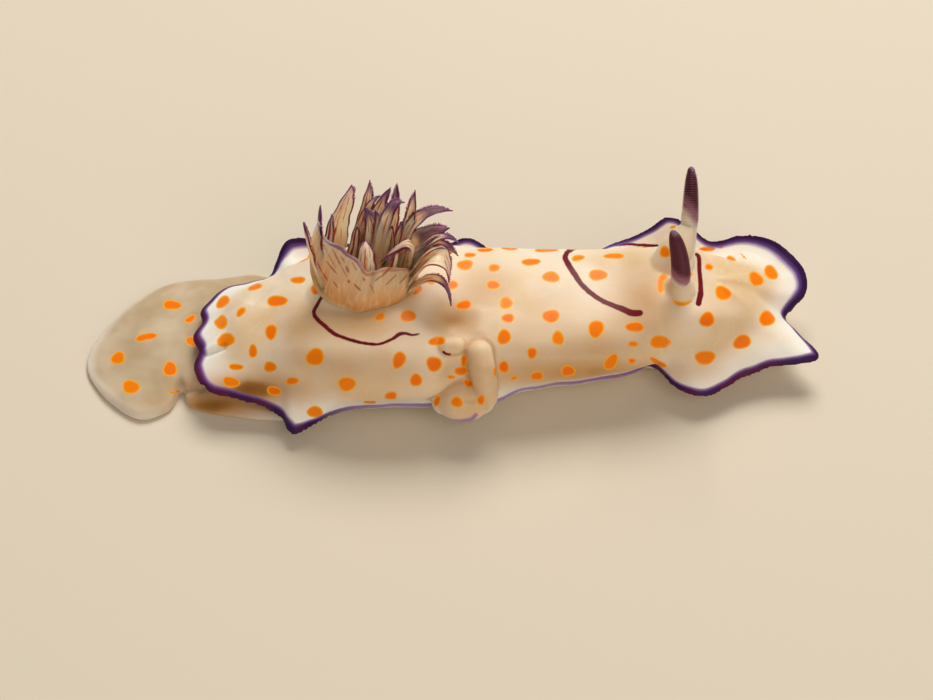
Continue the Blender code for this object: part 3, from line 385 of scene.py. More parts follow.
# The part of the photograph that the gill hides: left, right, top and bottom.
BEHIND_GILL = (300, 460, 180, 300)
# How squarely skin has to face the camera to be seen, and how far off the skin the line of sight starts.
GRAZING, OFF_SKIN = 0.12, 0.1
# How far along the skin a spot may reach from its middle, as a share of its greater length as seen, and how
# far below its middle in pixels.
SPOT_REACH, SPOT_DROP = 0.85, 30
# How uneven a spot's outline is.
SPOT_WAVES = 0.05
# How far from the bulb round the right feeler the two crescents beside it stay.
BULB_CLEAR = 0.1

# Wine-coloured lines by their places in the photograph, with their width as seen in millimetres at each.
LINES = {
    "neck": ((657, 246, 0.26), (640, 245, 0.24), (625, 244, 0.24), (605, 246, 0.26), (590, 245, 0.28),
             (578, 247, 0.32), (569, 251, 0.38), (565, 257, 0.44), (568, 264, 0.46), (575, 275, 0.46),
             (582, 285, 0.42), (591, 293, 0.42), (601, 300, 0.4), (612, 305, 0.42), (622, 309, 0.5),
             (632, 313, 0.56), (640, 313, 0.5)),
    "feelers": ((696.5, 254.5, 0.28), (699, 258, 0.34), (699.5, 270, 0.34), (700.5, 285, 0.4),
                (700.5, 294, 0.48), (698.5, 303, 0.5)),
    "gill": ((325, 290, 0.2), (320, 300, 0.28), (314, 312, 0.32), (318, 320, 0.34), (326, 327, 0.36),
             (335, 334, 0.34), (345, 338, 0.3), (358, 342, 0.28), (370, 344, 0.26), (380, 344, 0.24),
             (388, 341, 0.24), (394, 338, 0.26), (400, 334, 0.3), (406, 333.5, 0.26), (412, 335, 0.2),
             (419, 334, 0.16)),
    "knob": ((443, 351.5, 0.16), (446, 354, 0.22), (450, 354.5, 0.2)),
    "fold_rim": ((438, 415, 0.2), (441, 417.5, 0.3), (447, 420.5, 0.4), (455, 422, 0.42), (463, 421.5, 0.42),
                 (471, 419.5, 0.38), (476, 415, 0.3)),
}
# Lines that look blurred and violet.
SOFT_LINES = ("fold_rim",)
# How far from a line's middle its distance is worked out.
LINE_NEAR = 1.5

# Grooves, below 0, and ridges in the skin: how high and how wide, then their way by places in the photograph.
CREASES = {
    "rear_valley": (-0.2, 0.55, ((212, 344), (222, 335), (233, 321), (247, 308), (262, 295), (278, 284))),
    "rear_pleat": (-0.32, 0.25, ((201, 357), (209, 353.5), (218, 350), (229, 345))),
    "rear_pleat_lip": (0.16, 0.35, ((202, 352), (211, 348), (222, 343))),
    "tail_fold": (-0.35, 0.3, ((180, 393), (186, 391), (196, 389), (208, 388))),
    "flank_ridge": (0.2, 0.7, ((482, 303), (482, 314), (480, 326), (478, 337))),
    "fold_crease": (-0.12, 0.2, ((462, 402), (470, 401), (478, 400))),
}
# Over what share of its way a crease fades in and out.
CREASE_ENDS = 0.25
# Hollows beside the pinched fold: their middles in the photograph, radii and depths.
HOLLOWS = (((453, 321), 1.8, 0.9), ((457, 371), 1.25, 1.0), ((472, 352), 0.8, 0.5))
# Painted shade in brown in the creases beside the pinched fold's forms: how far from them, how wide, and how
# strong.
FOLD_SHADE = (0.2, 0.22, 0.75)
# Between which heights that painted shade comes in.
FOLD_SHADE_HIGH = (2.4, 3.4)
# Painted shade: warmer, browner patches of the flesh where shade falls, by their middle in the photograph,
# half lengths in pixels, and strength.
SHADE_BROWN_PATCHES = (
    ((453, 320), (29, 21), 1.0), ((350, 325), (70, 20), 0.75), ((250, 390), (52, 18), 1.2),
    ((395, 300), (36, 36), 0.35), ((672, 275), (30, 36), 0.45), ((230, 400), (40, 10), 0.5),
    ((590, 372), (110, 16), 0.9), ((380, 372), (90, 24), 0.35), ((480, 385), (16, 30), 0.4),
    ((648, 300), (30, 45), 0.35), ((480, 298), (30, 30), 0.3), ((450, 345), (22, 12), 0.3),
    ((220, 408), (50, 10), 0.6), ((480, 292), (36, 26), 0.6), ((646, 300), (34, 40), 0.8),
    ((735, 305), (40, 25), 0.3), ((585, 350), (90, 22), 0.45), ((350, 362), (60, 22), 0.5),
    ((215, 406), (42, 14), 1.2), ((540, 320), (60, 34), 0.4),
)

# The lamps: place in metres, size, power and colour. Then the light from all round, and the floor.
LAMPS = {
    "key": ((0.05, 0.24, 0.34), 0.22, 1.45, (1.0, 0.96, 0.9)),
    "fill": ((0.14, -0.33, 0.27), 0.4, 0.8, (1.0, 0.88, 0.74)),
}
SKY_COLOUR, SKY_STRENGTH = (1.0, 0.97, 0.93, 1.0), 0.22
FLOOR_SIZE, FLOOR_DROP = 3.0, 0.00002


def srgb(red, green, blue):
    """A colour as seen on a screen, from 0 to 255, as the shader's own numbers."""
    return tuple((value / 255) ** 2.2 for value in (red, green, blue)) + (1.0,)


CREAM = srgb(243, 227, 203)
CREAM_DEEP = srgb(230, 200, 156)
# The warm brown of painted shade on the flesh, and its deeper tone.
SHADE_BROWN = srgb(196, 146, 84)
SHADE_BROWN_DEEP = srgb(146, 98, 42)
MARGIN_WHITE = srgb(250, 246, 240)
TAIL_GREY = srgb(190, 166, 132)
TAIL_PALE = srgb(212, 194, 166)
ORANGE = srgb(255, 138, 0)
ORANGE_DEEP = srgb(250, 106, 0)
ORANGE_PALE = srgb(255, 178, 44)
RIM_DARK = srgb(54, 24, 74)
RIM_VIOLET = srgb(132, 94, 170)
RIM_WINE = srgb(92, 32, 68)
WINE = srgb(114, 16, 32)
CLUB_PURPLE = srgb(82, 30, 48)
CLUB_MAUVE = srgb(158, 108, 122)
CLUB_TIP = srgb(150, 128, 148)
GILL_CREAM = srgb(252, 232, 198)
GILL_FLESH = srgb(250, 216, 182)
GILL_PINK = srgb(238, 196, 186)
GILL_TAN = srgb(226, 178, 136)
GILL_BROWN = srgb(200, 146, 84)
GILL_ORANGE = srgb(208, 96, 26)
GILL_RED = srgb(146, 44, 22)
GILL_WINE = srgb(104, 22, 44)
GILL_TIP = srgb(62, 22, 60)
GILL_GREY = srgb(116, 78, 116)
FLOOR = srgb(222, 211, 192)

# How steeply the camera looks down, its focal length in pixels, the ways back and up as it sees them, and the
# place where it stands.
DOWN = math.radians(CAMERA_ELEVATION)
FOCAL = PHOTO_WIDE * LENS / SENSOR
CAMERA_BACK = np.array((0.0, -math.cos(DOWN), math.sin(DOWN)))
CAMERA_UP = np.array((0.0, math.sin(DOWN), math.cos(DOWN)))
CAMERA_PLACE = np.array(CAMERA_TARGET) + CAMERA_BACK * FOCAL / PIXELS_PER_MM


def read(table, x):
    """The value at x on a smooth curve through a table of (place, value)."""
    xs, ys = np.array(table, float).T
    slopes = np.gradient(ys, xs)
    x = np.clip(x, xs[0], xs[-1])
    i = np.clip(np.searchsorted(xs, x) - 1, 0, len(xs) - 2)
    h = xs[i + 1] - xs[i]
    f = (x - xs[i]) / h
    start = (1 + 2 * f) * (1 - f) ** 2 * ys[i] + f * (1 - f) ** 2 * h * slopes[i]
    end = f * f * (3 - 2 * f) * ys[i + 1] + f * f * (f - 1) * h * slopes[i + 1]
    return start + end


def smooth_curve(points, count, closed=False):
    """count points evenly spaced along a smooth curve through points, by their first three values."""
    p = np.array(points, float)
    n = len(p)
    at = np.linspace(0, n if closed else n - 1, CURVE_STEPS * n, endpoint=not closed)
    i = np.minimum(at.astype(int), n - 1 if closed else n - 2)
    f = (at - i)[:, None]
    rows = [i - 1, i, i + 1, i + 2]
    a, b, c, d = [p[row % n] if closed else p[np.clip(row, 0, n - 1)] for row in rows]
    square = 2 * a - 5 * b + 4 * c - d
    cube = 3 * b - a - 3 * c + d
    fine = 0.5 * (2 * b + (c - a) * f + square * f ** 2 + cube * f ** 3)
    if closed:
        fine = np.vstack([fine, fine[:1]])
    along = lengths_along(fine[:, :3])
    even = np.linspace(0, along[-1], count, endpoint=not closed)
    return np.column_stack([np.interp(even, along, column) for column in fine.T])


def lengths_along(points):
    """How far along its line each point lies."""
    return np.concatenate([[0], np.cumsum(np.linalg.norm(np.diff(points, axis=0), axis=1))])


def spline_weights(t, count):
    """Weights of count control points of a clamped cubic B-spline at each t from 0 to 1."""
    knots = np.concatenate([np.zeros(3), np.linspace(0, 1, count - 2), np.ones(3)])
    t = np.clip(t, 0, 1 - 1e-9)
    weights = [((knots[i] <= t) & (t < knots[i + 1])).astype(float) for i in range(len(knots) - 1)]
    for degree in (1, 2, 3):
        raised = []
        for i in range(len(weights) - 1):
            left = knots[i + degree] - knots[i]
            right = knots[i + degree + 1] - knots[i + 1]
            value = np.zeros_like(t)
            if left > 0:
                value = value + (t - knots[i]) / left * weights[i]
            if right > 0:
                value = value + (knots[i + degree + 1] - t) / right * weights[i + 1]
            raised.append(value)
        weights = raised
    return np.array(weights).T


def smooth_step(x, low=0.0, high=1.0):
    """0 at low, 1 at high, and smooth between them, whichever of the two is the greater."""
    x = np.clip((x - low) / (high - low), 0, 1)
    return x * x * (3 - 2 * x)


def unit(vectors):
    return vectors / np.linalg.norm(vectors, axis=-1, keepdims=True)


def spokes_from(table, edge):
    """Start of each spoke on the midline and its way out to the edge."""
    low, high = table[0][0], table[-1][0]
    rear, front = edge[:, 0].min(), edge[:, 0].max()
    place = (2 * edge[:, 0] - rear - front) / (front - rear)
    along = (low + high) / 2 + (high - low) / 2 * np.sin(np.pi / 2 * place)
    root = np.column_stack([along, read(table, along)])
    out = edge[:, :2] - root
    reach = np.linalg.norm(out, axis=1)
    return root, out / reach[:, None], reach


def mantle_sections(edge):
    """For each spoke of the mantle: its start, its way out, and its section as (out, up) points.

    A section runs over the back to the edge, and then under the edge to the body above the foot.
    """
    root, way, reach = spokes_from(SPINE, edge)
    along = root[:, 0]
    crest = read(CREST, along)
    slope = (read(CREST, along + SLOPE_STEP) - read(CREST, along - SLOPE_STEP)) / (2 * SLOPE_STEP)
    ahead = np.where(way[:, 0] > 0, HEAD_REACH, REAR_REACH)
    half = 1 / np.sqrt((way[:, 1] / read(HALF_WIDTH, along)) ** 2 + (way[:, 0] / ahead) ** 2)
    flare = smooth_step((reach / half - FLARE_FROM) / FLARE_RUN)
    sloped, rounded = REAR_SLOPE
    rearward = smooth_step((rounded - along) / (rounded - sloped))
    endward = np.maximum(smooth_step((np.abs(way[:, 0]) - END_FROM) / END_RUN), rearward)
    rim = edge[:, 2]
    cup = edge[:, 3]

    def mix(tucked, flared):
        return tucked + (flared - tucked) * flare

    shoulder = (SHOULDER_OUT - SHOULDER_LESS * endward) * half
    upper_out, flank_out = [mix(tucked, flared) * half * (1 - less * endward)
                            for tucked, flared, less in (UPPER_OUT, FLANK_OUT)]
    tucked_high, flared_high, end_high = [on_crest * crest + on_rim * rim
                                          for on_crest, on_rim in (TUCKED_HIGH, FLARED_HIGH, END_HIGH)]
    side_high = mix(tucked_high, flared_high)
    flank = side_high + (end_high - side_high) * endward
    on_crest, less, on_rim = UPPER_HIGH
    upper = crest * (on_crest - less * endward) + on_rim * rim * endward
    brim_out = mix(reach + BRIM_TUCKED * np.maximum(half - reach, BRIM_LEAST),
                   half + BRIM_FLARED * (reach - half))
    on_flank, on_rim = BRIM_HIGH
    brim = on_flank * flank + on_rim * rim + cup - BRIM_SAG * flare * (1 - endward)
    # The control points over the back: crest, shoulder, upper flank, flank, brim and edge.
    outs = (0 * crest, shoulder, upper_out, flank_out, brim_out, reach - EDGE_IN)
    ups = (crest, crest + slope * way[:, 0] * shoulder, upper, flank, brim, rim)
    over = np.ascontiguousarray(np.array([outs, ups]).T)
    top = np.einsum("tk,skc->stc", spline_weights(np.linspace(0, 1, MANTLE_RINGS), over.shape[1]), over)
    rear, front = FOOT_RIDGE[0][0], FOOT_RIDGE[-1][0]
    floor = read(FOOT_RIDGE, np.clip(along + BODY_AHEAD * way[:, 0] * half, rear, front)) - SINK
    lip = np.column_stack([reach, rim - EDGE_THICK / 2])
    body = np.column_stack([np.minimum(BODY_OUT * half, reach - BODY_IN), floor])
    under = [lip]
    for step, (share, thick) in enumerate(UNDERSIDE):
        weights = spline_weights(np.array([share, share - 0.01]), over.shape[1])
        at, before = np.einsum("tk,skc->tsc", weights, over)
        run = unit(at - before)
        below = at - thick * np.column_stack([-run[:, 1], run[:, 0]])
        below[:, 1] = np.maximum(below[:, 1], floor)
        straight = lip + (body - lip) * (step + 1) / (len(UNDERSIDE) + 1)
        under.append(straight + (below - straight) * flare[:, None])
    under = np.stack(under + [body], axis=1)
    return root, way, np.concatenate([top, under], axis=1)


def foot_sections():
    """For each spoke of the foot: its start, its way out, and its section as (out, up) points."""
    edge = smooth_curve(list(FOOT_EDGE.values()), FOOT_SPOKES, closed=True)
    root, way, reach = spokes_from(FOOT_LINE, edge)
    ridge = read(FOOT_RIDGE, root[:, 0])
    beside = np.arange(-FOOT_CALM, FOOT_CALM + 1)
    calm = np.mean([np.roll(reach, step) for step in beside], axis=0)
    sections = []
    for share in np.linspace(0.0, FOOT_LAST_RING, FOOT_RINGS):
        out = (calm + (reach - calm) * smooth_step(share, 0.5, 1.0)) * share
        top = np.minimum(ridge, read(FOOT_RIDGE, root[:, 0] + way[:, 0] * out))
        thick = FOOT_EDGE_THICK * np.minimum(1.0, top / FOOT_THIN_BELOW)
        sections.append(np.column_stack([out, thick + (top - thick) * (1 - share ** FOOT_ROUND)]))
    sections.append(np.column_stack([reach, np.full(len(reach), FOOT_EDGE_HIGH)]))
    sections.append(np.column_stack([reach - FOOT_EDGE_TUCK, np.zeros(len(reach))]))
    return root, way, np.stack(sections, axis=1)


def ringed(root, way, sections):
    """Points and faces of a closed form from spokes of (out, up) points that all start on one line."""
    count, rings = sections.shape[:2]
    places = root[:, None, :] + way[:, None, :] * sections[:, :, :1]
    points = np.concatenate([places, sections[:, :, 1:]], axis=2).reshape(-1, 3)
    faces = grid_faces(count, rings)
    faces.append([k * rings + rings - 1 for k in range(count)])
    return points, faces


def grid_faces(rows, columns):
    """Faces of a grid of rows by columns, whose last row meets the first."""
    faces = []
    for k in range(rows):
        following = (k + 1) % rows
        for j in range(columns - 1):
            a, b = k * columns + j, following * columns + j
            faces.append((a, a + 1, b + 1, b))
    return faces


def tube_faces(rows, sides):
    """Faces of a form whose rows of points each go round it: its wall and then its two ends."""
    faces = []
    for i in range(rows - 1):
        for k in range(sides):
            a, b = i * sides + k, i * sides + (k + 1) % sides
            faces.append((a, b, b + sides, a + sides))
    faces.append(list(range(sides))[::-1])
    faces.append(list(range((rows - 1) * sides, rows * sides)))
    return faces


def tube_unwrap(rows, sides, corner):
    """The unwrap of tube_faces, from a function that gives the place of the corner at a row and a side."""
    flat = []
    for i in range(rows - 1):
        for k in range(sides):
            flat += [corner(i, k), corner(i, k + 1), corner(i + 1, k + 1), corner(i + 1, k)]
    flat += [corner(0, k) for k in reversed(range(sides))]
    return flat + [corner(rows - 1, k) for k in range(sides)]


def tube(points, radii, sides):
    """Points and faces of a closed tube with a radius at each point of its line."""
    p = np.array(points, float)
    ways = unit(np.gradient(p, axis=0))
    side = np.cross(ways[0], OFF_EVERY_TUBE)
    rows = []
    for centre, radius, way in zip(p, radii, ways):
        side = side - way * (side @ way)
        side /= np.linalg.norm(side)
        other = np.cross(way, side)
        angle = np.linspace(0, 2 * math.pi, sides, endpoint=False)[:, None]
        rows.append(centre + radius * (np.cos(angle) * side + np.sin(angle) * other))
    return np.vstack(rows), tube_faces(len(rows), sides)


def round_tube(line, sides=28):
    """A tube with round ends along a smooth curve through rows of (along, across, up, radius)."""
    rows = smooth_curve(line, 24)
    points, radii = rows[:, :3], rows[:, 3]
    first, last = unit(points[0] - points[1]), unit(points[-1] - points[-2])
    turns = np.radians(TUBE_END_TURNS)
    start = [points[0] + first * radii[0] * math.sin(turn) for turn in turns]
    end = [points[-1] + last * radii[-1] * math.sin(turn) for turn in turns[::-1]]
    shares = np.cos(turns)
    sizes = np.concatenate([shares * radii[0], radii, shares[::-1] * radii[-1]])
    return tube(np.vstack([start, points, end]), sizes, sides)


def along_axis(foot, way, bend, reach):
    """A place along a feeler's axis, reach from its foot, with the tip bent by bend."""
    out = max(reach, 0.0)
    return np.array(foot) + unit(np.array(way, float)) * reach + np.array(bend) * out * out / RHINOPHORE_LONG


def sheath(side):
    """The skin that rises round a rhinophore's foot, as rows of (along, across, up, radius)."""
    foot, way, bend = RHINOPHORES[side][:3]
    top = SHEATH[side][-1][0]
    rows = []
    for reach, radius in SHEATH[side]:
        lean = SHEATH_LEAN[side] * min(1.0, 1 - reach / top)
        rows.append((*(along_axis(foot, way, bend, reach) - (lean, 0.0, 0.0)), radius))
    return rows


def ring_place(bearing, share, up):
    """A place over the gill's oval ring, at a bearing in degrees and a share of the ring's size."""
    angle = math.radians(bearing)
    return np.array((GILL_CENTRE[0] + GILL_LONG * share * math.cos(angle),
                     GILL_CENTRE[1] + GILL_WIDE * share * math.sin(angle), up))


def gill_mound():
    """The low dome of skin from which the gill grows."""
    bearings = np.linspace(0, 360, MOUND_SPOKES, endpoint=False)
    fine = smooth_curve(GILL_MOUND, MOUND_RINGS)
    points = [ring_place(bearing, share, up) for bearing in bearings for share, up in fine]
    faces = grid_faces(MOUND_SPOKES, MOUND_RINGS)
    faces.append([k * MOUND_RINGS for k in reversed(range(MOUND_SPOKES))])
    faces.append([k * MOUND_RINGS + MOUND_RINGS - 1 for k in range(MOUND_SPOKES)])
    return np.array(points), faces


def head():
    """The snout under the front of the mantle."""
    turn = np.linspace(0, 2 * math.pi, HEAD_SIDES, endpoint=False)
    around = np.column_stack([np.cos(turn), np.sin(turn), np.ones(HEAD_SIDES)])
    rows = []
    for angle in np.radians(np.linspace(-88, 88, HEAD_RINGS)):
        level = np.array(HEAD_RADII) * (math.cos(angle), math.cos(angle), math.sin(angle))
        rows.append(np.array(HEAD_CENTRE) + level * around)
    return np.vstack(rows), tube_faces(HEAD_RINGS, HEAD_SIDES)


def oral_tentacle(side):
    foot, way = ORAL_TENTACLES[side]
    way = unit(np.array(way, float))
    return round_tube([(*(np.array(foot) + way * reach), radius) for reach, radius in ORAL_ROWS], 20)


def ruffled(edge):
    """The free edge with the small waves of soft flesh."""
    waves, lifts = [
        np.array([noise.noise(Vector((*point[:2], own)) / RUFFLE_LONG) for point in edge])
        for own in RUFFLE_SEEDS]
    edge = edge.copy()
    out = edge[:, :2] - np.roll(edge[:, :2], 1, axis=0)
    out = unit(np.column_stack([-out[:, 1], out[:, 0]]))
    edge[:, :2] += out * (EDGE_OUT + RUFFLE_HIGH * waves)[:, None]
    edge[:, 2] += RUFFLE_HIGH * lifts
    return edge


def fused_skin():
    """One closed surface round all the flesh: points, faces and edges."""
    edge = ruffled(smooth_curve(list(MANTLE_EDGE.values()), MANTLE_SPOKES, closed=True))
    pieces = [ringed(*mantle_sections(edge)), ringed(*foot_sections()), head(), gill_mound()]
    pieces += [round_tube(line) for line in FOLD_PARTS.values()]
    pieces += [round_tube(sheath(side)) for side in RHINOPHORES]
    pieces += [oral_tentacle(side) for side in ORAL_TENTACLES]
    made = linked("skin_forms", outward(mesh_of("skin_forms", *joined(pieces))))
    fuse = made.modifiers.new("fuse", "REMESH")
    fuse.mode = "VOXEL"
    fuse.voxel_size = SKIN_GRAIN
    evaluated = made.evaluated_get(bpy.context.evaluated_depsgraph_get())
    fused = bpy.data.meshes.new_from_object(evaluated)
    bpy.data.objects.remove(made)
    points = np.empty(len(fused.vertices) * 3, np.float32)
    fused.vertices.foreach_get("co", points)
    faces = np.empty(len(fused.loops), int)
    fused.loops.foreach_get("vertex_index", faces)
    edges = np.empty(len(fused.edges) * 2, int)
    fused.edges.foreach_get("vertices", edges)
    return points.reshape(-1, 3).astype(float), faces.reshape(-1, 4), edges.reshape(-1, 2)


def joined(pieces):
    """Points and faces of several pieces as one. Each piece starts with its points and its faces."""
    faces = []
    start = 0
    for points, own_faces, *_ in pieces:
        faces += [[start + int(i) for i in face] for face in own_faces]
        start += len(points)
    return np.vstack([row[0] for row in pieces]), faces


def mesh_of(name, points, faces):
    mesh = bpy.data.meshes.new(name)
    mesh.from_pydata(points.tolist(), [], [[int(i) for i in face] for face in faces])
    return mesh


def outward(mesh):
    """Turns each closed part of a mesh outwards."""
    shaped = bmesh.new()
    shaped.from_mesh(mesh)
    bmesh.ops.recalc_face_normals(shaped, faces=shaped.faces)
    shaped.to_mesh(mesh)
    shaped.free()
    return mesh


def linked(name, data):
    """A new object of the data, in the scene."""
    made = bpy.data.objects.new(name, data)
    bpy.context.scene.collection.objects.link(made)
    return made


def relaxed(points, edges, strength, rounds):
    """Points after rounds of smoothing that keeps the volume, each moved by its own strength from 0 to 1."""
    a, b = edges.T
    count = np.bincount(a, minlength=len(points)) + np.bincount(b, minlength=len(points))
    points = points.copy()
    for turn in range(rounds):
        share = (SMOOTH_IN, SMOOTH_OUT)[turn % 2]
        for axis in range(3):
            x = points[:, axis]
            near = np.bincount(a, x[b], len(x)) + np.bincount(b, x[a], len(x))
            points[:, axis] = x + (near / count - x) * share * strength
    return points


def nearest(points, samples):
    """For each point, the distance to the nearest sample and which it is."""
    tree = KDTree(len(samples))
    for i, sample in enumerate(samples):
        tree.insert(sample[:3], i)
    tree.balance()
    found = [tree.find(point) for point in points]
    return np.array([row[2] for row in found]), np.array([row[1] for row in found])


def from_line(points, rows):
    """Distance of each point from the surface of a tube through rows of (along, across, up, radius)."""
    samples = smooth_curve(rows, 40)
    away, which = nearest(points, samples)
    return away - samples[which, 3]


def pixel_way(x, y):
    """The way from the camera through a pixel of the photograph."""
    aside = np.array((x - PHOTO_WIDE / 2, 0.0, 0.0))
    return unit(aside - CAMERA_UP * (y - PHOTO_HIGH / 2) - CAMERA_BACK * FOCAL)


def pixels_of(points):
    """The pixel at which each place shows."""
    out = points - CAMERA_PLACE
    depth = -out @ CAMERA_BACK
    return np.column_stack([PHOTO_WIDE / 2 + FOCAL * out[:, 0] / depth,
                            PHOTO_HIGH / 2 - FOCAL * (out @ CAMERA_UP) / depth])


def place_at(pixel, across):
    """The place that shows at a pixel and lies at a place across."""
    way = pixel_way(*pixel)
    return CAMERA_PLACE + way * (across - CAMERA_PLACE[1]) / way[1]


class Skin:
    """The fused skin with its marks, each kept as a number at every point."""

    def __init__(self):
        self.points, self.faces, self.edges = fused_skin()
        self.edge_line = ruffled(smooth_curve(list(MANTLE_EDGE.values()), EDGE_SAMPLES, closed=True))
        self.bulb, self.cone = [from_line(self.points, sheath(side)) for side in ("right", "left")]
        self.fold = np.min([from_line(self.points, line) for line in FOLD_PARTS.values()], axis=0)
        self.smooth()
        self.renew()
        self.crease()
        self.renew()
        self.rim, which = nearest(self.points, self.edge_line)
        self.band = self.edge_line[which, 4]
        self.marks = {}

    def smooth(self):
        """Takes the grain of the fusing away, and rounds the joins away from the edge and the small forms."""
        distance, which = nearest(self.points, self.edge_line)
        small = np.min([self.fold, self.bulb, self.cone], axis=0)
        free = smooth_step(distance, *EDGE_KEPT) * smooth_step(small, *SMALL_KEPT)
        self.points = relaxed(self.points, self.edges, 1.0, FINE_ROUNDS)
        self.points = relaxed(self.points, self.edges, free, CREASE_ROUNDS)

    def crease(self):
        """Adds the hollows, the creases, the mouth and soft unevenness."""
        push = np.zeros(len(self.points))
        for (x, y), radius, deep in HOLLOWS:
            centre, normal = self.cast(x, y)
            push -= deep * np.exp(-(np.linalg.norm(self.points - centre, axis=1) / radius) ** 2)
        push *= smooth_step(self.fold, 0.02, 0.4)
        for high, wide, route in CREASES.values():
            line = self.laid(route)
            away, which = nearest(self.points, line)
            share = which / len(line)
            ends = smooth_step(share, 0, CREASE_ENDS) * smooth_step(1 - share, 0, CREASE_ENDS)
            push += high * ends * np.exp(-(away / wide) ** 2)
        mouth = np.array(HEAD_CENTRE) + (HEAD_RADII[0], 0, -MOUTH_LOW)
        off = self.points - mouth
        slit = np.clip(1 - np.abs(off[:, 2]) / MOUTH_HIGH, 0, 1)
        slit *= smooth_step(np.abs(off[:, 1]), MOUTH_WIDE / 2, 0)
        push -= MOUTH_DEEP * slit * (off[:, 0] > -MOUTH_BACK)
        push += np.array([sum(high * noise.noise(Vector(p) / long) for high, long in SKIN_LUMPS)
                          for p in self.points])
        self.points += self.normals * push[:, None]
        self.points[:, 2] = np.maximum(self.points[:, 2], 0.0)

    def renew(self):
        """Works out the normals, where the points show, and the tree that rays are cast at."""
        a, b, c, d = [self.points[self.faces[:, k]] for k in range(4)]
        face_normals = np.cross(c - a, d - b)
        count = len(self.points)
        self.normals = np.zeros_like(self.points)
        for k in range(4):
            for axis in range(3):
                self.normals[:, axis] += np.bincount(self.faces[:, k], face_normals[:, axis], count)
        self.normals = unit(self.normals)
        self.pixels = pixels_of(self.points)
        self.tree = BVHTree.FromPolygons(self.points.tolist(), self.faces.tolist())

    def cast(self, x, y):
        """The place and the normal where a pixel of the photograph meets the skin."""
        hit, normal, face, distance = self.tree.ray_cast(Vector(CAMERA_PLACE), Vector(pixel_way(x, y)))
        if hit is None:
            return None, None
        return np.array(hit), unit(self.normals[self.faces[face]].mean(axis=0))

    def laid(self, route):
        """Places on the skin along a smooth curve through pixels of the photograph."""
        hits = [self.cast(x, y)[0] for x, y in smooth_curve(route, 120)]
        return np.array([hit for hit in hits if hit is not None])

    def hidden(self, point, normal):
        """Whether the camera doesn't see a place on the skin."""
        out = unit(CAMERA_PLACE - point)
        if out @ normal < GRAZING:
            return True
        start = Vector(point + normal * OFF_SKIN)
        return self.tree.ray_cast(start, Vector(out))[0] is not None


def hidden_spots(skin, seen, draw):
    """Spots for the skin that the photograph doesn't show, kept clear of the others."""
    rows = []
    centres = list(seen)
    left, right, high, low = BEHIND_GILL
    for i in draw.integers(0, len(skin.points), HIDDEN_TRIES):
        point, normal = skin.points[i], skin.normals[i]
        if (skin.rim[i] < skin.band[i] + HIDDEN_FROM_BAND or normal[2] < HIDDEN_LEAST_TURN
                or point[2] < HIDDEN_LEAST_HIGH):
            continue
        x, y = skin.pixels[i]
        behind_gill = left < x < right and high < y < low
        if not (behind_gill or skin.hidden(point, normal)):
            continue
        apart = min(np.linalg.norm(point - other) for other in centres)
        if apart < HIDDEN_APART * draw.uniform(0.85, 1.25):
            continue
        if np.linalg.norm((point[:2] - GILL_CENTRE) / (GILL_LONG, GILL_WIDE)) < HIDDEN_FROM_GILL:
            continue
        if min(skin.bulb[i], skin.cone[i]) < HIDDEN_FROM_SHEATH:
            continue
        turn = draw.uniform(0, math.pi)
        side = unit(np.cross(normal, (0.2, 0.1, 1.0)))
        other = np.cross(normal, side)
        wide, long = draw.uniform(*HIDDEN_WIDE), draw.uniform(*HIDDEN_LONG)
        first = (side * math.cos(turn) + other * math.sin(turn)) * long
        second = (other * math.cos(turn) - side * math.sin(turn)) * wide
        rows.append((point, normal, first, second))
        centres.append(point)
    return rows


def paint_spots(skin):
    """Distance in millimetres from the nearest spot's edge, below 0 inside it, and that spot's tone."""
    draw = np.random.default_rng(SEED)
    seen = [(skin.cast(*row[:2])[0], row, name == "bulb") for name, group in SPOTS.items() for row in group]
    seen = [row for row in seen if row[0] is not None]
    distance = np.full(len(skin.points), FAR)
    tone = np.zeros(len(skin.points))

    def add(near, u, v, length, beyond, deepest=-1.0):
        phases, own = draw.uniform(0, 2 * math.pi, 2), draw.uniform(0, 1)
        angle = np.arctan2(v, u)
        waves = SPOT_WAVES * np.cos(2 * angle + phases[0]) + SPOT_WAVES * np.cos(3 * angle + phases[1])
        share = np.maximum(np.maximum(np.hypot(u, v) / (1 + waves), beyond), 1e-6)
        found = np.where(share < 1, -1, 1) * np.abs(length * (1 - 1 / share))
        found = np.maximum(np.maximum(found, -1.0), deepest)
        closer = found < distance[near]
        distance[near[closer]] = found[closer]
        tone[near[closer]] = own

    for centre, (x, y, wide, high, *tilt), beside_bulb in seen:
        away = np.linalg.norm(skin.points - centre, axis=1)
        reach = SPOT_REACH * max(wide, high)
        near = np.flatnonzero((away < 2 * reach) & (skin.pixels[:, 1] < y + SPOT_DROP))
        off = (skin.pixels[near] - (x, y)) / PIXELS_PER_MM
        turn = math.radians(sum(tilt))
        u = (off[:, 0] * math.cos(turn) - off[:, 1] * math.sin(turn)) / (wide / 2)
        v = (off[:, 0] * math.sin(turn) + off[:, 1] * math.cos(turn)) / (high / 2)
        deepest = BULB_CLEAR - skin.bulb[near] if beside_bulb else -1.0
        add(near, u, v, np.hypot(*off.T) + 1e-6, away[near] / reach, deepest)
    for centre, normal, first, second in hidden_spots(skin, [row[0] for row in seen], draw):
        away = skin.points - centre
        near = np.flatnonzero((np.abs(away).max(axis=1) < HIDDEN_REACH)
                              & (skin.normals @ normal > HIDDEN_FACING))
        away = away[near]
        away = away - np.outer(away @ normal, normal)
        add(near, away @ first / (first @ first), away @ second / (second @ second),
            np.linalg.norm(away, axis=1) + 1e-6, 0.0)
    skin.marks["spot"] = distance
    skin.marks["tone"] = tone


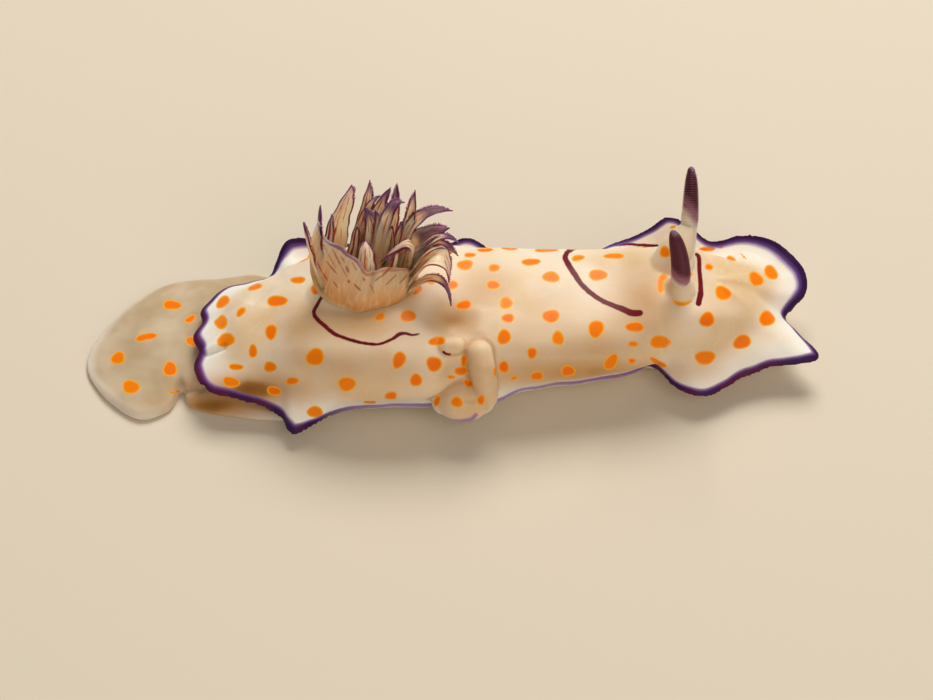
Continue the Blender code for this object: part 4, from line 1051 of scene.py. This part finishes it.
def paint_lines(skin):
    """Distance in millimetres from the nearest line's edge, below 0 inside it, for sharp and soft lines."""
    for name in ("line", "blur"):
        skin.marks[name] = np.full(len(skin.points), FAR)
    for name, route in LINES.items():
        rows = smooth_curve([(x, y, 0, width) for x, y, width in route], 240)
        beside, which = nearest(skin.points, skin.laid([row[:2] for row in route]))
        near = np.flatnonzero(beside < LINE_NEAR)
        level = np.column_stack([skin.pixels[near], np.zeros(len(near))])
        away, which = nearest(level, rows)
        values = skin.marks["blur" if name in SOFT_LINES else "line"]
        values[near] = np.minimum(values[near], away / PIXELS_PER_MM - rows[which, 3] / 2)


def paint_regions(skin):
    """How far the purple band is, and how much of each point is tail, painted shade in brown, and pale."""
    up = skin.points[:, 2]
    beyond = skin.rim - skin.band
    foot_line = [(*row, FOOT_EDGE_HIGH) for row in FOOT_EDGE.values()]
    hem, which = nearest(skin.points, smooth_curve(foot_line, FOOT_SAMPLES, closed=True))
    tail = (smooth_step(up, *TAIL_HIGH) * smooth_step(skin.rim, *TAIL_FROM_EDGE)
            * smooth_step(TAIL_START - skin.points[:, 0], 0, TAIL_FULL))
    halo = HALO_REACH + HALO_MORE * np.clip(skin.band - HALO_BAND, 0, 1)
    # Painted shade: warm brown patches where shade falls on the flesh, only on skin that faces the camera.
    painted_shade = np.zeros(len(skin.points))
    facing = smooth_step(skin.normals @ CAMERA_BACK, 0.0, 0.3)
    for middle, lengths, strength in SHADE_BROWN_PATCHES:
        off = np.linalg.norm((skin.pixels - middle) / lengths, axis=1)
        painted_shade = np.maximum(painted_shade, strength * np.exp(-off ** 2) * facing)
    # Painted shade in the creases beside the pinched fold's forms.
    away, wide, strength = FOLD_SHADE
    beside = np.exp(-((skin.fold - away) / wide) ** 2) * smooth_step(up, *FOLD_SHADE_HIGH)
    skin.marks.update({
        "rim": np.clip(beyond, -2, 4),
        "halo": np.clip(beyond / halo, -2, 4),
        "share": skin.rim / skin.band,
        "near": smooth_step(skin.points[:, 1], *NEAR_SIDE),
        "dark": smooth_step(skin.band, *DARK_BAND),
        "hem": np.clip(hem, 0, 4),
        "tail": np.maximum(tail, smooth_step(up, *SOLE_HIGH)),
        "painted_shade": np.maximum(painted_shade, strength * beside),
    })


def piece(name, points, faces, marks, material, nodes, flat=None):
    """Makes a finished piece in the model's frame, with its marks as attributes.

    flat is its unwrap, if it has one.
    """
    mesh = mesh_of(name, (points - np.array(MIDDLE)) * MM, faces)
    for mark, values in marks.items():
        attribute = mesh.attributes.new(mark, "FLOAT", "POINT")
        attribute.data.foreach_set("value", np.asarray(values, np.float32))
    if flat is not None:
        mesh.uv_layers.new(name="OFBake").data.foreach_set("uv", np.asarray(flat, np.float32).ravel())
    outward(mesh)
    mesh.shade_smooth()
    mesh.materials.append(material)
    made = linked(name, mesh)
    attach(made, "root")
    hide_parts(*nodes)


class Paint:
    """A material's node tree, built by plain calls. Lengths in it are in millimetres."""

    def __init__(self, name):
        self.material = bpy.data.materials.new(name)
        self.material.use_nodes = True
        self.tree = self.material.node_tree
        self.shader = self.tree.nodes["Principled BSDF"]
        place = self.new("ShaderNodeTexCoord").outputs["Object"]
        self.place = self.new("ShaderNodeVectorMath", {"operation": "SCALE"}, "Vector",
                              Vector=place, Scale=1 / MM)

    def new(self, kind, settings=None, output=None, **inputs):
        """A new node, or the output of it that is named."""
        made = self.tree.nodes.new(kind)
        for name, value in (settings or {}).items():
            setattr(made, name, value)
        for name, value in inputs.items():
            self.put(made.inputs[name.replace("_", " ")], value)
        return made.outputs[output] if output else made

    def put(self, socket, value):
        if isinstance(value, bpy.types.NodeSocket):
            self.tree.links.new(value, socket)
        else:
            socket.default_value = value

    def mark(self, name):
        """A number kept at each point of the piece."""
        return self.new("ShaderNodeAttribute", {"attribute_name": name}, "Fac")

    def work(self, operation, *values):
        made = self.new("ShaderNodeMath", {"operation": operation})
        for socket, value in zip(made.inputs, values):
            self.put(socket, value)
        return made.outputs[0]

    def plus(self, a, b):
        return self.work("ADD", a, b)

    def minus(self, a, b):
        return self.work("SUBTRACT", a, b)

    def times(self, a, b):
        return self.work("MULTIPLY", a, b)

    def step(self, value, low, high, start=0.0, end=1.0):
        """start below low, end above high, and smooth between them."""
        return self.new("ShaderNodeMapRange", {"interpolation_type": "SMOOTHSTEP"}, "Result", Value=value,
                        From_Min=low, From_Max=high, To_Min=start, To_Max=end)

    def mix(self, factor, a, b):
        made = self.new("ShaderNodeMix", {"data_type": "RGBA"})
        for index, value in ((0, factor), (6, a), (7, b)):
            self.put(made.inputs[index], value)
        return made.outputs[2]

    def over(self, below, above, value, low, high, most=1.0):
        """The colour above laid over the one below: none of it at low, and as much as most at high."""
        return self.mix(self.step(value, low, high, 0.0, most), below, above)

    def noise(self, size, detail=2.0, rough=0.5):
        """Noise from 0 to 1 with lumps of about that size."""
        return self.new("ShaderNodeTexNoise", None, "Fac", Vector=self.place, Scale=1 / size, Detail=detail,
                        Roughness=rough)

    def around(self, noise_value, reach):
        """Noise turned into an offset of up to about reach either way."""
        return self.times(self.minus(noise_value, 0.5), 2 * reach)

    def bump(self, height, strength, distance, before=None):
        made = self.new("ShaderNodeBump", Height=height, Strength=strength, Distance=distance * MM)
        if before is not None:
            self.put(made.inputs["Normal"], before)
        return made.outputs["Normal"]

    def finish(self, colour, **values):
        self.put(self.shader.inputs["Base Color"], colour)
        for name, value in values.items():
            self.put(self.shader.inputs[name.replace("_", " ")], value)
        return self.material


def skin_paint():
    """Moist translucent cream flesh with orange spots, wine lines, a dark purple band along the edge, and
    painted shade in warm brown.
    """
    paint = Paint("skin")
    over, mark = paint.over, paint.mark
    fine, soft = paint.noise(0.5, 3), paint.noise(3.2)
    rim = paint.plus(mark("rim"), paint.around(paint.noise(0.8), 0.07))
    flesh = over(CREAM, CREAM_DEEP, paint.noise(7.0), 0.3, 0.75)
    flesh = over(flesh, MARGIN_WHITE, soft, 0.45, 0.8, 0.35)
    flesh = over(flesh, MARGIN_WHITE, paint.noise(0.28), 0.55, 0.75, 0.22)
    flesh = over(flesh, MARGIN_WHITE, rim, 3.0, 0.3, 0.9)
    tail = over(TAIL_GREY, TAIL_PALE, soft, 0.3, 0.7)
    tail = over(tail, MARGIN_WHITE, mark("hem"), 1.2, 0.1, 0.5)
    flesh = paint.mix(mark("tail"), flesh, tail)
    # Painted shade: the flesh turns warm brown in the patches and creases where shade falls.
    painted_shade = paint.times(mark("painted_shade"), paint.step(soft, 0.1, 0.7, 0.75, 1.0))
    flesh = paint.mix(painted_shade, flesh, over(SHADE_BROWN, SHADE_BROWN_DEEP, painted_shade, 0.7, 1.2))
    spot = paint.plus(mark("spot"), paint.around(fine, 0.045))
    tone = paint.mix(paint.times(mark("tone"), 0.7), ORANGE, ORANGE_DEEP)
    flesh = over(flesh, over(tone, ORANGE_PALE, spot, -0.2, 0.0), spot, 0.05, -0.04)
    flesh = over(flesh, WINE, paint.plus(mark("line"), paint.around(fine, 0.07)), 0.05, -0.05)
    flesh = over(flesh, RIM_VIOLET, mark("blur"), 0.14, -0.12, 0.75)
    flesh = over(flesh, RIM_VIOLET, mark("halo"), 1.0, 0.0, 0.8)
    reddish = paint.times(paint.step(paint.noise(2.4), 0.35, 0.65), mark("near"))
    dark = over(paint.mix(reddish, RIM_DARK, RIM_WINE), RIM_VIOLET, mark("share"), 0.45, 1.0, 0.55)
    flesh = paint.mix(paint.times(paint.step(rim, 0.08, -0.12), mark("dark")), flesh, dark)
    glow = paint.times(paint.step(spot, -0.04, 0.2, 0.12, 0.8), paint.step(rim, -0.1, 0.5, 0.2, 1.0))
    grain = paint.bump(paint.noise(0.22, 4, 0.6), 0.3, 0.03)
    return paint.finish(flesh, Normal=paint.bump(fine, 0.22, 0.05, grain), Roughness=0.42, IOR=1.22,
                        Subsurface_Weight=glow, Subsurface_Radius=(1.0, 0.6, 0.35),
                        Subsurface_Scale=0.9 * MM, Coat_Weight=0.06, Coat_Roughness=0.25)


def feeler_paint(name, white_until, purple_from):
    """White stem, fading to a dark purple club with a greyish tip."""
    paint = Paint(name)
    over = paint.over
    reach = paint.plus(paint.mark("reach"), paint.around(paint.noise(0.5), 0.25))
    middle = (white_until + purple_from) / 2
    colour = over(CREAM, CLUB_MAUVE, reach, white_until, middle)
    colour = over(colour, CLUB_PURPLE, reach, middle, purple_from)
    colour = over(colour, CLUB_MAUVE, paint.mark("ridge"), 0.5, 1.0, 0.22)
    colour = over(colour, CLUB_TIP, reach, RHINOPHORE_LONG - 0.5, RHINOPHORE_LONG, 0.7)
    return paint.finish(colour, Normal=paint.bump(paint.noise(0.12, 3), 0.3, 0.02), Roughness=0.36,
                        IOR=1.25, Subsurface_Weight=0.5, Subsurface_Radius=(1.0, 0.5, 0.4),
                        Subsurface_Scale=0.4 * MM, Coat_Weight=0.1, Coat_Roughness=0.2)


def gill_paint():
    """Thin translucent leaves with red lines along them, wine-coloured edges and purple tips."""
    paint = Paint("gill")
    over, mark, times, minus, step = paint.over, paint.mark, paint.times, paint.minus, paint.step
    up = paint.plus(mark("up"), paint.around(paint.noise(0.9), 0.05))
    side = paint.work("ABSOLUTE", mark("across"))
    along = paint.new("ShaderNodeCombineXYZ", None, "Vector", X=times(mark("across"), 2.6),
                      Y=times(mark("length"), 0.55), Z=mark("leaf"))
    streaks = paint.new("ShaderNodeTexNoise", None, "Fac", Vector=along, Scale=1.6, Detail=2.0)
    is_wall = step(mark("wall"), 0.2, 0.8)
    is_leaf = minus(1.0, is_wall)
    flesh = over(over(GILL_CREAM, GILL_FLESH, up, 0.3, 0.7), GILL_PINK, up, 0.6, 1.0)
    band = times(step(side, 0.5, 0.1), step(streaks, 0.38, 0.6))
    flesh = paint.mix(times(band, step(up, 0.9, 0.6, 0.0, 0.6)), flesh, GILL_ORANGE)
    inside = minus(1.0, mark("outer"))
    flesh = paint.mix(times(inside, step(up, 0.4, 0.1, 0.0, 0.5)), flesh, GILL_ORANGE)
    line = over(over(GILL_ORANGE, GILL_RED, up, 0.35, 0.65), GILL_WINE, up, 0.6, 0.9)
    quarter = paint.work("ABSOLUTE", minus(side, 0.5))
    inner = paint.work("MAXIMUM", step(side, 0.13, 0.04), times(step(quarter, 0.07, 0.01), 0.8))
    inner = times(inner, step(streaks, 0.44, 0.54))
    flesh = paint.mix(times(inner, step(up, 0.2, 0.35)), flesh, line)
    wall = over(GILL_TAN, GILL_BROWN, up, 0.8, 0.2)
    wall = over(wall, GILL_FLESH, streaks, 0.45, 0.75, 0.4)
    wall = over(wall, CREAM_DEEP, up, 0.28, 0.08, 0.9)
    wall = paint.mix(times(inside, 0.6), wall, GILL_FLESH)
    wall = over(wall, GILL_RED, mark("stroke"), 0.07, -0.04, 0.85)
    rooted = times(is_leaf, step(up, 0.45, 0.2))
    flesh = paint.mix(paint.work("MAXIMUM", is_wall, rooted), flesh, wall)
    edge = minus(paint.plus(mark("edge"), paint.around(streaks, 0.05)), times(is_wall, 0.12))
    margin = times(step(edge, 0.19, 0.09), step(up, 0.25, 0.5))
    fading = times(is_wall, step(mark("wall"), 1.4, 1.65, 0.0, 0.5))
    wine = paint.mix(is_leaf, GILL_GREY, over(GILL_RED, GILL_WINE, up, 0.4, 0.8))
    wine = over(wine, GILL_RED, mark("wall"), 1.45, 1.6)
    flesh = paint.mix(times(margin, minus(1.0, fading)), flesh, wine)
    tip = paint.plus(minus(up, mark("dark")), times(side, 0.1))
    tip = times(step(tip, 0.0, 0.2, 0.0, 0.92), is_leaf)
    flesh = paint.mix(tip, flesh, over(GILL_TIP, GILL_GREY, streaks, 0.4, 0.65))
    ribs = paint.work("SINE", times(mark("length"), 2 * math.pi / PINNULE_STEP))
    ribs = times(ribs, times(is_leaf, step(side, 0.25, 0.8)))
    grain = paint.bump(paint.noise(0.15, 3), 0.25, 0.02, paint.bump(ribs, 0.35, 0.03))
    return paint.finish(flesh, Normal=grain, Roughness=0.38, IOR=1.25, Subsurface_Weight=0.85,
                        Subsurface_Radius=(0.8, 0.72, 0.66), Subsurface_Scale=0.8 * MM, Coat_Weight=0.1,
                        Coat_Roughness=0.22)


def rhinophore(side):
    """A feeler with a smooth stem and a club of fine lamellae."""
    foot, way, bend, white_until, purple_from, lag = RHINOPHORES[side]
    name = "rhinophore_" + side
    start = CLUB_FROM[side]
    rows = [(reach, share * STEM_RADIUS, 0.0) for reach, share in (*STEM_ROWS, (start - 0.2, 1.0))]
    count = round((CLUB_END - start) / LAMELLAE_APART)
    step = (CLUB_END - start) / count
    for ring in range(count):
        at = start + (ring + 0.5) * step
        share = (at - start) / (RHINOPHORE_LONG - start)
        width = CLUB_RADIUS[side] * (1 - CLUB_NARROWS * share) * math.sqrt(1 - share ** CLUB_BLUNT)
        width *= 0.9 + 0.1 * float(smooth_step(share, 0.0, 0.15))
        deep = min(LAMELLA_DEEP, 0.2 * width) * (1 if share > 0.05 else 0.5)
        rows += [(at + offset * step, width - depth * deep, ridge) for offset, depth, ridge in LAMELLA]
    last = rows[-1][1]
    rows += [(CLUB_END + short, last * share, 0.0) for short, share in CLUB_TIP_ROWS]
    axis = np.array([along_axis(foot, way, bend, reach) for reach, radius, ridge in rows])
    points, faces = tube(axis, [radius for reach, radius, ridge in rows], CLUB_SIDES)
    around = (points[:, 0] - np.repeat(axis[:, 0], CLUB_SIDES)) / CLUB_RADIUS[side]
    reach = np.repeat([row[0] for row in rows], CLUB_SIDES) + lag * around
    marks = {"reach": reach, "ridge": np.repeat([row[2] for row in rows], CLUB_SIDES)}
    material = feeler_paint(name, white_until, purple_from)
    piece(name + "_skin", points, faces, marks, material, [name])


def arc(start, bend, end, t):
    """Points at shares t of a curve from start to end that is drawn towards bend."""
    return start * (1 - t) ** 2 + 2 * bend * t * (1 - t) + end * t ** 2


def branch_line(bearing, end, middle_pixel, root_share, t):
    """Middle line of a gill branch: points, the way along and the way out at each, and the way across."""
    root = ring_place(bearing, root_share, GILL_TOP - BRANCH_SUNK)
    away = unit(ring_place(bearing, 1.0, 0.0) - ring_place(bearing, 0.0, 0.0))
    across = np.array((-away[1], away[0], 0.0))
    middle = place_at(middle_pixel, (root[1] + end[1]) / 2 + BRANCH_BULGE * away[1])
    bend = 2 * middle - (root + end) / 2
    t = t[:, None]
    along = unit(2 * (bend - root) * (1 - t) + 2 * (end - bend) * t)
    return arc(root, bend, end, t), along, unit(np.cross(across, along)), across


def both_sides(front, back):
    """Rows that run across the front of a sheet and then return across its back."""
    return np.concatenate([front, back[:, ::-1]], axis=1)


def gill_marks(count, **values):
    """The marks of a part of the gill with count points, each from one value for all or one for each."""
    usual = {"outer": 0.0, "wall": 0.0, "stroke": FAR}
    return {name: np.broadcast_to(value, count) for name, value in {**usual, **values}.items()}


def gill_leaf(row, root_share, strip, draw):
    """A folded leaf with its rows of pinnules, each as points, faces, marks and unwrap."""
    bearing, pixel, across_at, middle_pixel, breadth, root, narrows, folded, dark = row
    t = np.linspace(0, 1, LEAF_STEPS) ** 0.9
    end = place_at(pixel, across_at)
    points, along, out, across = branch_line(bearing, end, middle_pixel, root_share, t)
    length = lengths_along(points)
    widths = breadth / 2 * (root * (1 - t) + LEAF_SWELL * t) * np.maximum(1 - t ** narrows, LEAF_LEAST)

    def swayed(row, at):
        deep, tight = row
        return deep * np.sin(at * tight + draw.uniform(0, 6))

    widths *= 1 + swayed(LEAF_WAVES, length) + LEAF_RIPPLES[0] * np.sin(length * LEAF_RIPPLES[1])
    fold = folded * widths
    lean = widths * swayed(LEAF_LEAN, t)
    s = np.linspace(-1, 1, LEAF_COLUMNS)
    wave = swayed(FOLD_WAVES, length)[:, None] * (s ** 3)[None, :]
    middle = (points[:, None, :] + across * (widths[:, None] * s + lean[:, None])[:, :, None]
              - out[:, None, :] * (fold[:, None] * np.abs(s) ** 1.6 + wave)[:, :, None])
    thick = LEAF_THICK * (1 - LEAF_THINS_OUT * s ** 2)[None, :, None]
    thick = out[:, None, :] * (thick * (1 - LEAF_THINS_UP * t)[:, None, None])
    ring = both_sides(middle + thick, middle - thick)
    sides = 2 * LEAF_COLUMNS
    low, high = strip
    flat = tube_unwrap(LEAF_STEPS, sides, lambda i, k: (low + (high - low) * k / sides, t[i]))
    side_marks = np.tile(np.concatenate([s, s[::-1]]), LEAF_STEPS)
    own = draw.uniform(0, 40)
    marks = gill_marks(len(side_marks), up=np.repeat(t, sides), across=side_marks,
                       length=np.repeat(length, sides),
                       edge=np.repeat(widths, sides) * (1 - np.abs(side_marks)),
                       outer=np.tile(np.repeat([1.0, 0.0], LEAF_COLUMNS), LEAF_STEPS),
                       leaf=own, dark=1 - dark)
    pieces = [(ring.reshape(-1, 3), tube_faces(LEAF_STEPS, sides), marks, flat)]
    for way in (-1, 1):
        rows = draw.uniform(-0.3, 0.3, int(PINNULE_RUN * length[-1] / PINNULE_STEP))
        for i, shift in enumerate(rows):
            at = np.interp(PINNULE_FROM * length[-1] + (i + 0.5 + shift) * PINNULE_STEP, length, t)
            here = [np.array([np.interp(at, t, column) for column in values.T])
                    for values in (points, along, out, np.column_stack([widths, fold, lean]))]
            values = {"up": at, "length": np.interp(at, t, length), "leaf": own, "dark": 1 - dark}
            pieces.append(pinnule(*here, across, way, values, strip, draw))
    return pieces


def pinnule(point, along, out, sizes, across, way, values, strip, draw):
    """A small thin blade on a leaf's edge, as points, faces, marks and unwrap."""
    width, fold, lean = sizes
    up, out = unit(along), unit(out)
    root = point + across * (way * 0.93 * width + lean) - out * fold * 0.9
    long = PINNULE_LONG * draw.uniform(0.75, 1.15) * min(1.0, 0.45 + width)
    heading = unit(across * way * 0.55 - out * 0.45 + up * draw.uniform(0.5, 0.85))
    side = unit(up - heading * (up @ heading))
    thin = np.cross(side, heading)
    rows = []
    for share, broad, _ in PINNULE_ROWS:
        centre = root + heading * long * share
        rows += [centre + side * broad * PINNULE_BROAD, centre + thin * PINNULE_THICK / 2,
                 centre - side * broad * PINNULE_BROAD, centre - thin * PINNULE_THICK / 2]
    faces = tube_faces(len(PINNULE_ROWS), 4)
    margins = np.repeat([row[2] for row in PINNULE_ROWS], 4)
    marks = gill_marks(len(rows), across=0.95 * way, edge=margins, **values)
    low, high = strip
    middle = low + (high - low) * (0.25 + 0.23 * way)
    square = [(middle + right * PATCH / 2, values["up"] + rise * PATCH / 2)
              for right, rise in ((-1, -1), (1, -1), (1, 1), (-1, 1))]
    return np.array(rows), faces, marks, square * len(faces)


def gill_wall(strip):
    """The leaves of the near side, joined to one wall round the ring, as points, faces, marks and unwrap."""
    rows = [(*place_at(pixel, across), bearing) for bearing, pixel, across in GILL_WALL]
    rim = smooth_curve(rows, WALL_COLUMNS)
    u = np.linspace(0, 1, WALL_COLUMNS)
    v = np.linspace(0, 1, WALL_ROWS)
    foot = np.array([ring_place(bearing, 1.0, GILL_TOP - BRANCH_SUNK) for bearing in rim[:, 3]])
    away = unit(foot - ring_place(0, 0.0, GILL_TOP - BRANCH_SUNK))
    rim = rim[:, :3]
    bend = (foot + rim) / 2 + 2 * WALL_BULGE * away
    sheet = arc(foot[:, None], bend[:, None], rim[:, None], v[None, :, None])
    pleats = PLEAT_DEEP * np.sin(2 * np.pi * (PLEATS * u[:, None] - PLEAT_LEAN * v[None, :]))
    pleats -= CLEFT_DEEP * np.exp(-((u[:, None] - WALL_CLEFT) / CLEFT_WIDE) ** 2) * v[None, :]
    sheet = sheet + away[:, None] * (pleats * smooth_step(v, 0.0, 0.5))[:, :, None]
    thick = (LEAF_THICK * (1 - 0.75 * v))[None, :, None] * away[:, None]
    points = both_sides(sheet + thick, sheet - thick).reshape(-1, 3)
    sides = 2 * WALL_ROWS
    low, high = strip
    flat = tube_unwrap(WALL_COLUMNS, sides, lambda i, k: (low + (high - low) * u[i], k / sides))
    from_rim = np.linalg.norm(sheet - rim[:, None], axis=2)
    up = np.tile(np.concatenate([v, v[::-1]]), WALL_COLUMNS)
    marks = gill_marks(len(points), up=up, across=np.repeat(u * 12 - 6, sides), length=up * 5.0,
                       edge=both_sides(from_rim, from_rim).ravel(),
                       outer=np.tile(np.repeat([1.0, 0.0], WALL_ROWS), WALL_COLUMNS), leaf=3.0, dark=3.0,
                       wall=np.repeat(np.linspace(1.0, 2.0, WALL_COLUMNS), sides), stroke=strokes(points))
    return points, tube_faces(WALL_COLUMNS, sides), marks, flat


def strokes(points):
    """Distance of each point in millimetres from the nearest reddish stroke's edge, as seen."""
    pixels = pixels_of(points)
    distance = np.full(len(points), FAR)
    for start, end, width in GILL_STROKES:
        start, end = np.array(start), np.array(end)
        way = end - start
        part = np.clip((pixels - start) @ way / (way @ way), 0, 1)
        off = np.linalg.norm(pixels - start - part[:, None] * way, axis=1)
        half = width / 2 * np.sqrt(1.02 - (2 * part - 1) ** 2)
        distance = np.minimum(distance, off / PIXELS_PER_MM - half)
    return distance


def gill():
    """The whole tuft as one piece."""
    draw = np.random.default_rng(SEED + 1)
    leaves = [(row, BRANCH_ROOT) for row in GILL_BRANCHES] + [(row, INNER_ROOT) for row in GILL_INNER]
    parts = len(leaves) + 1
    strips = [((i + STRIP_GAP) / parts, (i + 1 - STRIP_GAP) / parts) for i in range(parts)]
    pieces = [gill_wall(strips[-1])]
    for strip, (row, root_share) in zip(strips, leaves):
        pieces += gill_leaf(row, root_share, strip, draw)
    points, faces = joined(pieces)
    marks = {name: np.concatenate([row[2][name] for row in pieces]) for name in pieces[0][2]}
    flat = [corner for row in pieces for corner in row[3]]
    piece("gill_tuft", points, faces, marks, gill_paint(),
          ["gill_front", "gill_left", "gill_rear", "gill_right"], flat)


def flesh():
    """The skin, in place of all the nodes of flesh."""
    skin = Skin()
    paint_spots(skin)
    paint_lines(skin)
    paint_regions(skin)
    piece("skin", skin.points, skin.faces, skin.marks, skin_paint(),
          ["mantle_head", "mantle_back", "mantle_rear", "foot", "tail", "head", "oral_tentacle_right",
           "oral_tentacle_left"])


def stage():
    """A pale floor, soft light from above and behind as in the photograph, and its camera."""
    bpy.ops.mesh.primitive_plane_add(size=FLOOR_SIZE, location=(0, 0, -FLOOR_DROP))
    floor = bpy.context.object
    floor.name = "floor"
    floor.data.materials.append(Paint("floor").finish(FLOOR, Roughness=0.9))
    world = bpy.data.worlds.new("studio")
    bpy.context.scene.world = world
    world.use_nodes = True
    background = world.node_tree.nodes["Background"]
    background.inputs["Color"].default_value = SKY_COLOUR
    background.inputs["Strength"].default_value = SKY_STRENGTH
    for name, (place, size, power, colour) in LAMPS.items():
        lamp = bpy.data.lights.new(name, "AREA")
        lamp.size = size
        lamp.energy = power
        lamp.color = colour
        made = linked(name, lamp)
        made.location = place
        made.rotation_euler = (-Vector(place)).to_track_quat("-Z", "Y").to_euler()
    lens = bpy.data.cameras.new("camera")
    lens.lens = LENS
    lens.sensor_width = SENSOR
    lens.clip_start = 0.001
    camera = linked("camera", lens)
    camera.location = (Vector(CAMERA_PLACE) - Vector(MIDDLE)) * MM
    camera.rotation_euler = Euler((math.radians(90 - CAMERA_ELEVATION), 0, 0))
    bpy.context.scene.camera = camera
    bpy.context.scene.view_settings.view_transform = "Standard"


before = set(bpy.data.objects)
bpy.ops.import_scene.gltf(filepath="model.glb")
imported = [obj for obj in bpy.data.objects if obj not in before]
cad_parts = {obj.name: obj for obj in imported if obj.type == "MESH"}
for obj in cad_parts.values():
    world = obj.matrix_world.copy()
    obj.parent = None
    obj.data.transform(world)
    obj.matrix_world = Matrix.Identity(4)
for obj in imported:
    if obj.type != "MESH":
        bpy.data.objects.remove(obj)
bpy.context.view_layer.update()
flesh()
for side in RHINOPHORES:
    rhinophore(side)
gill()
stage()
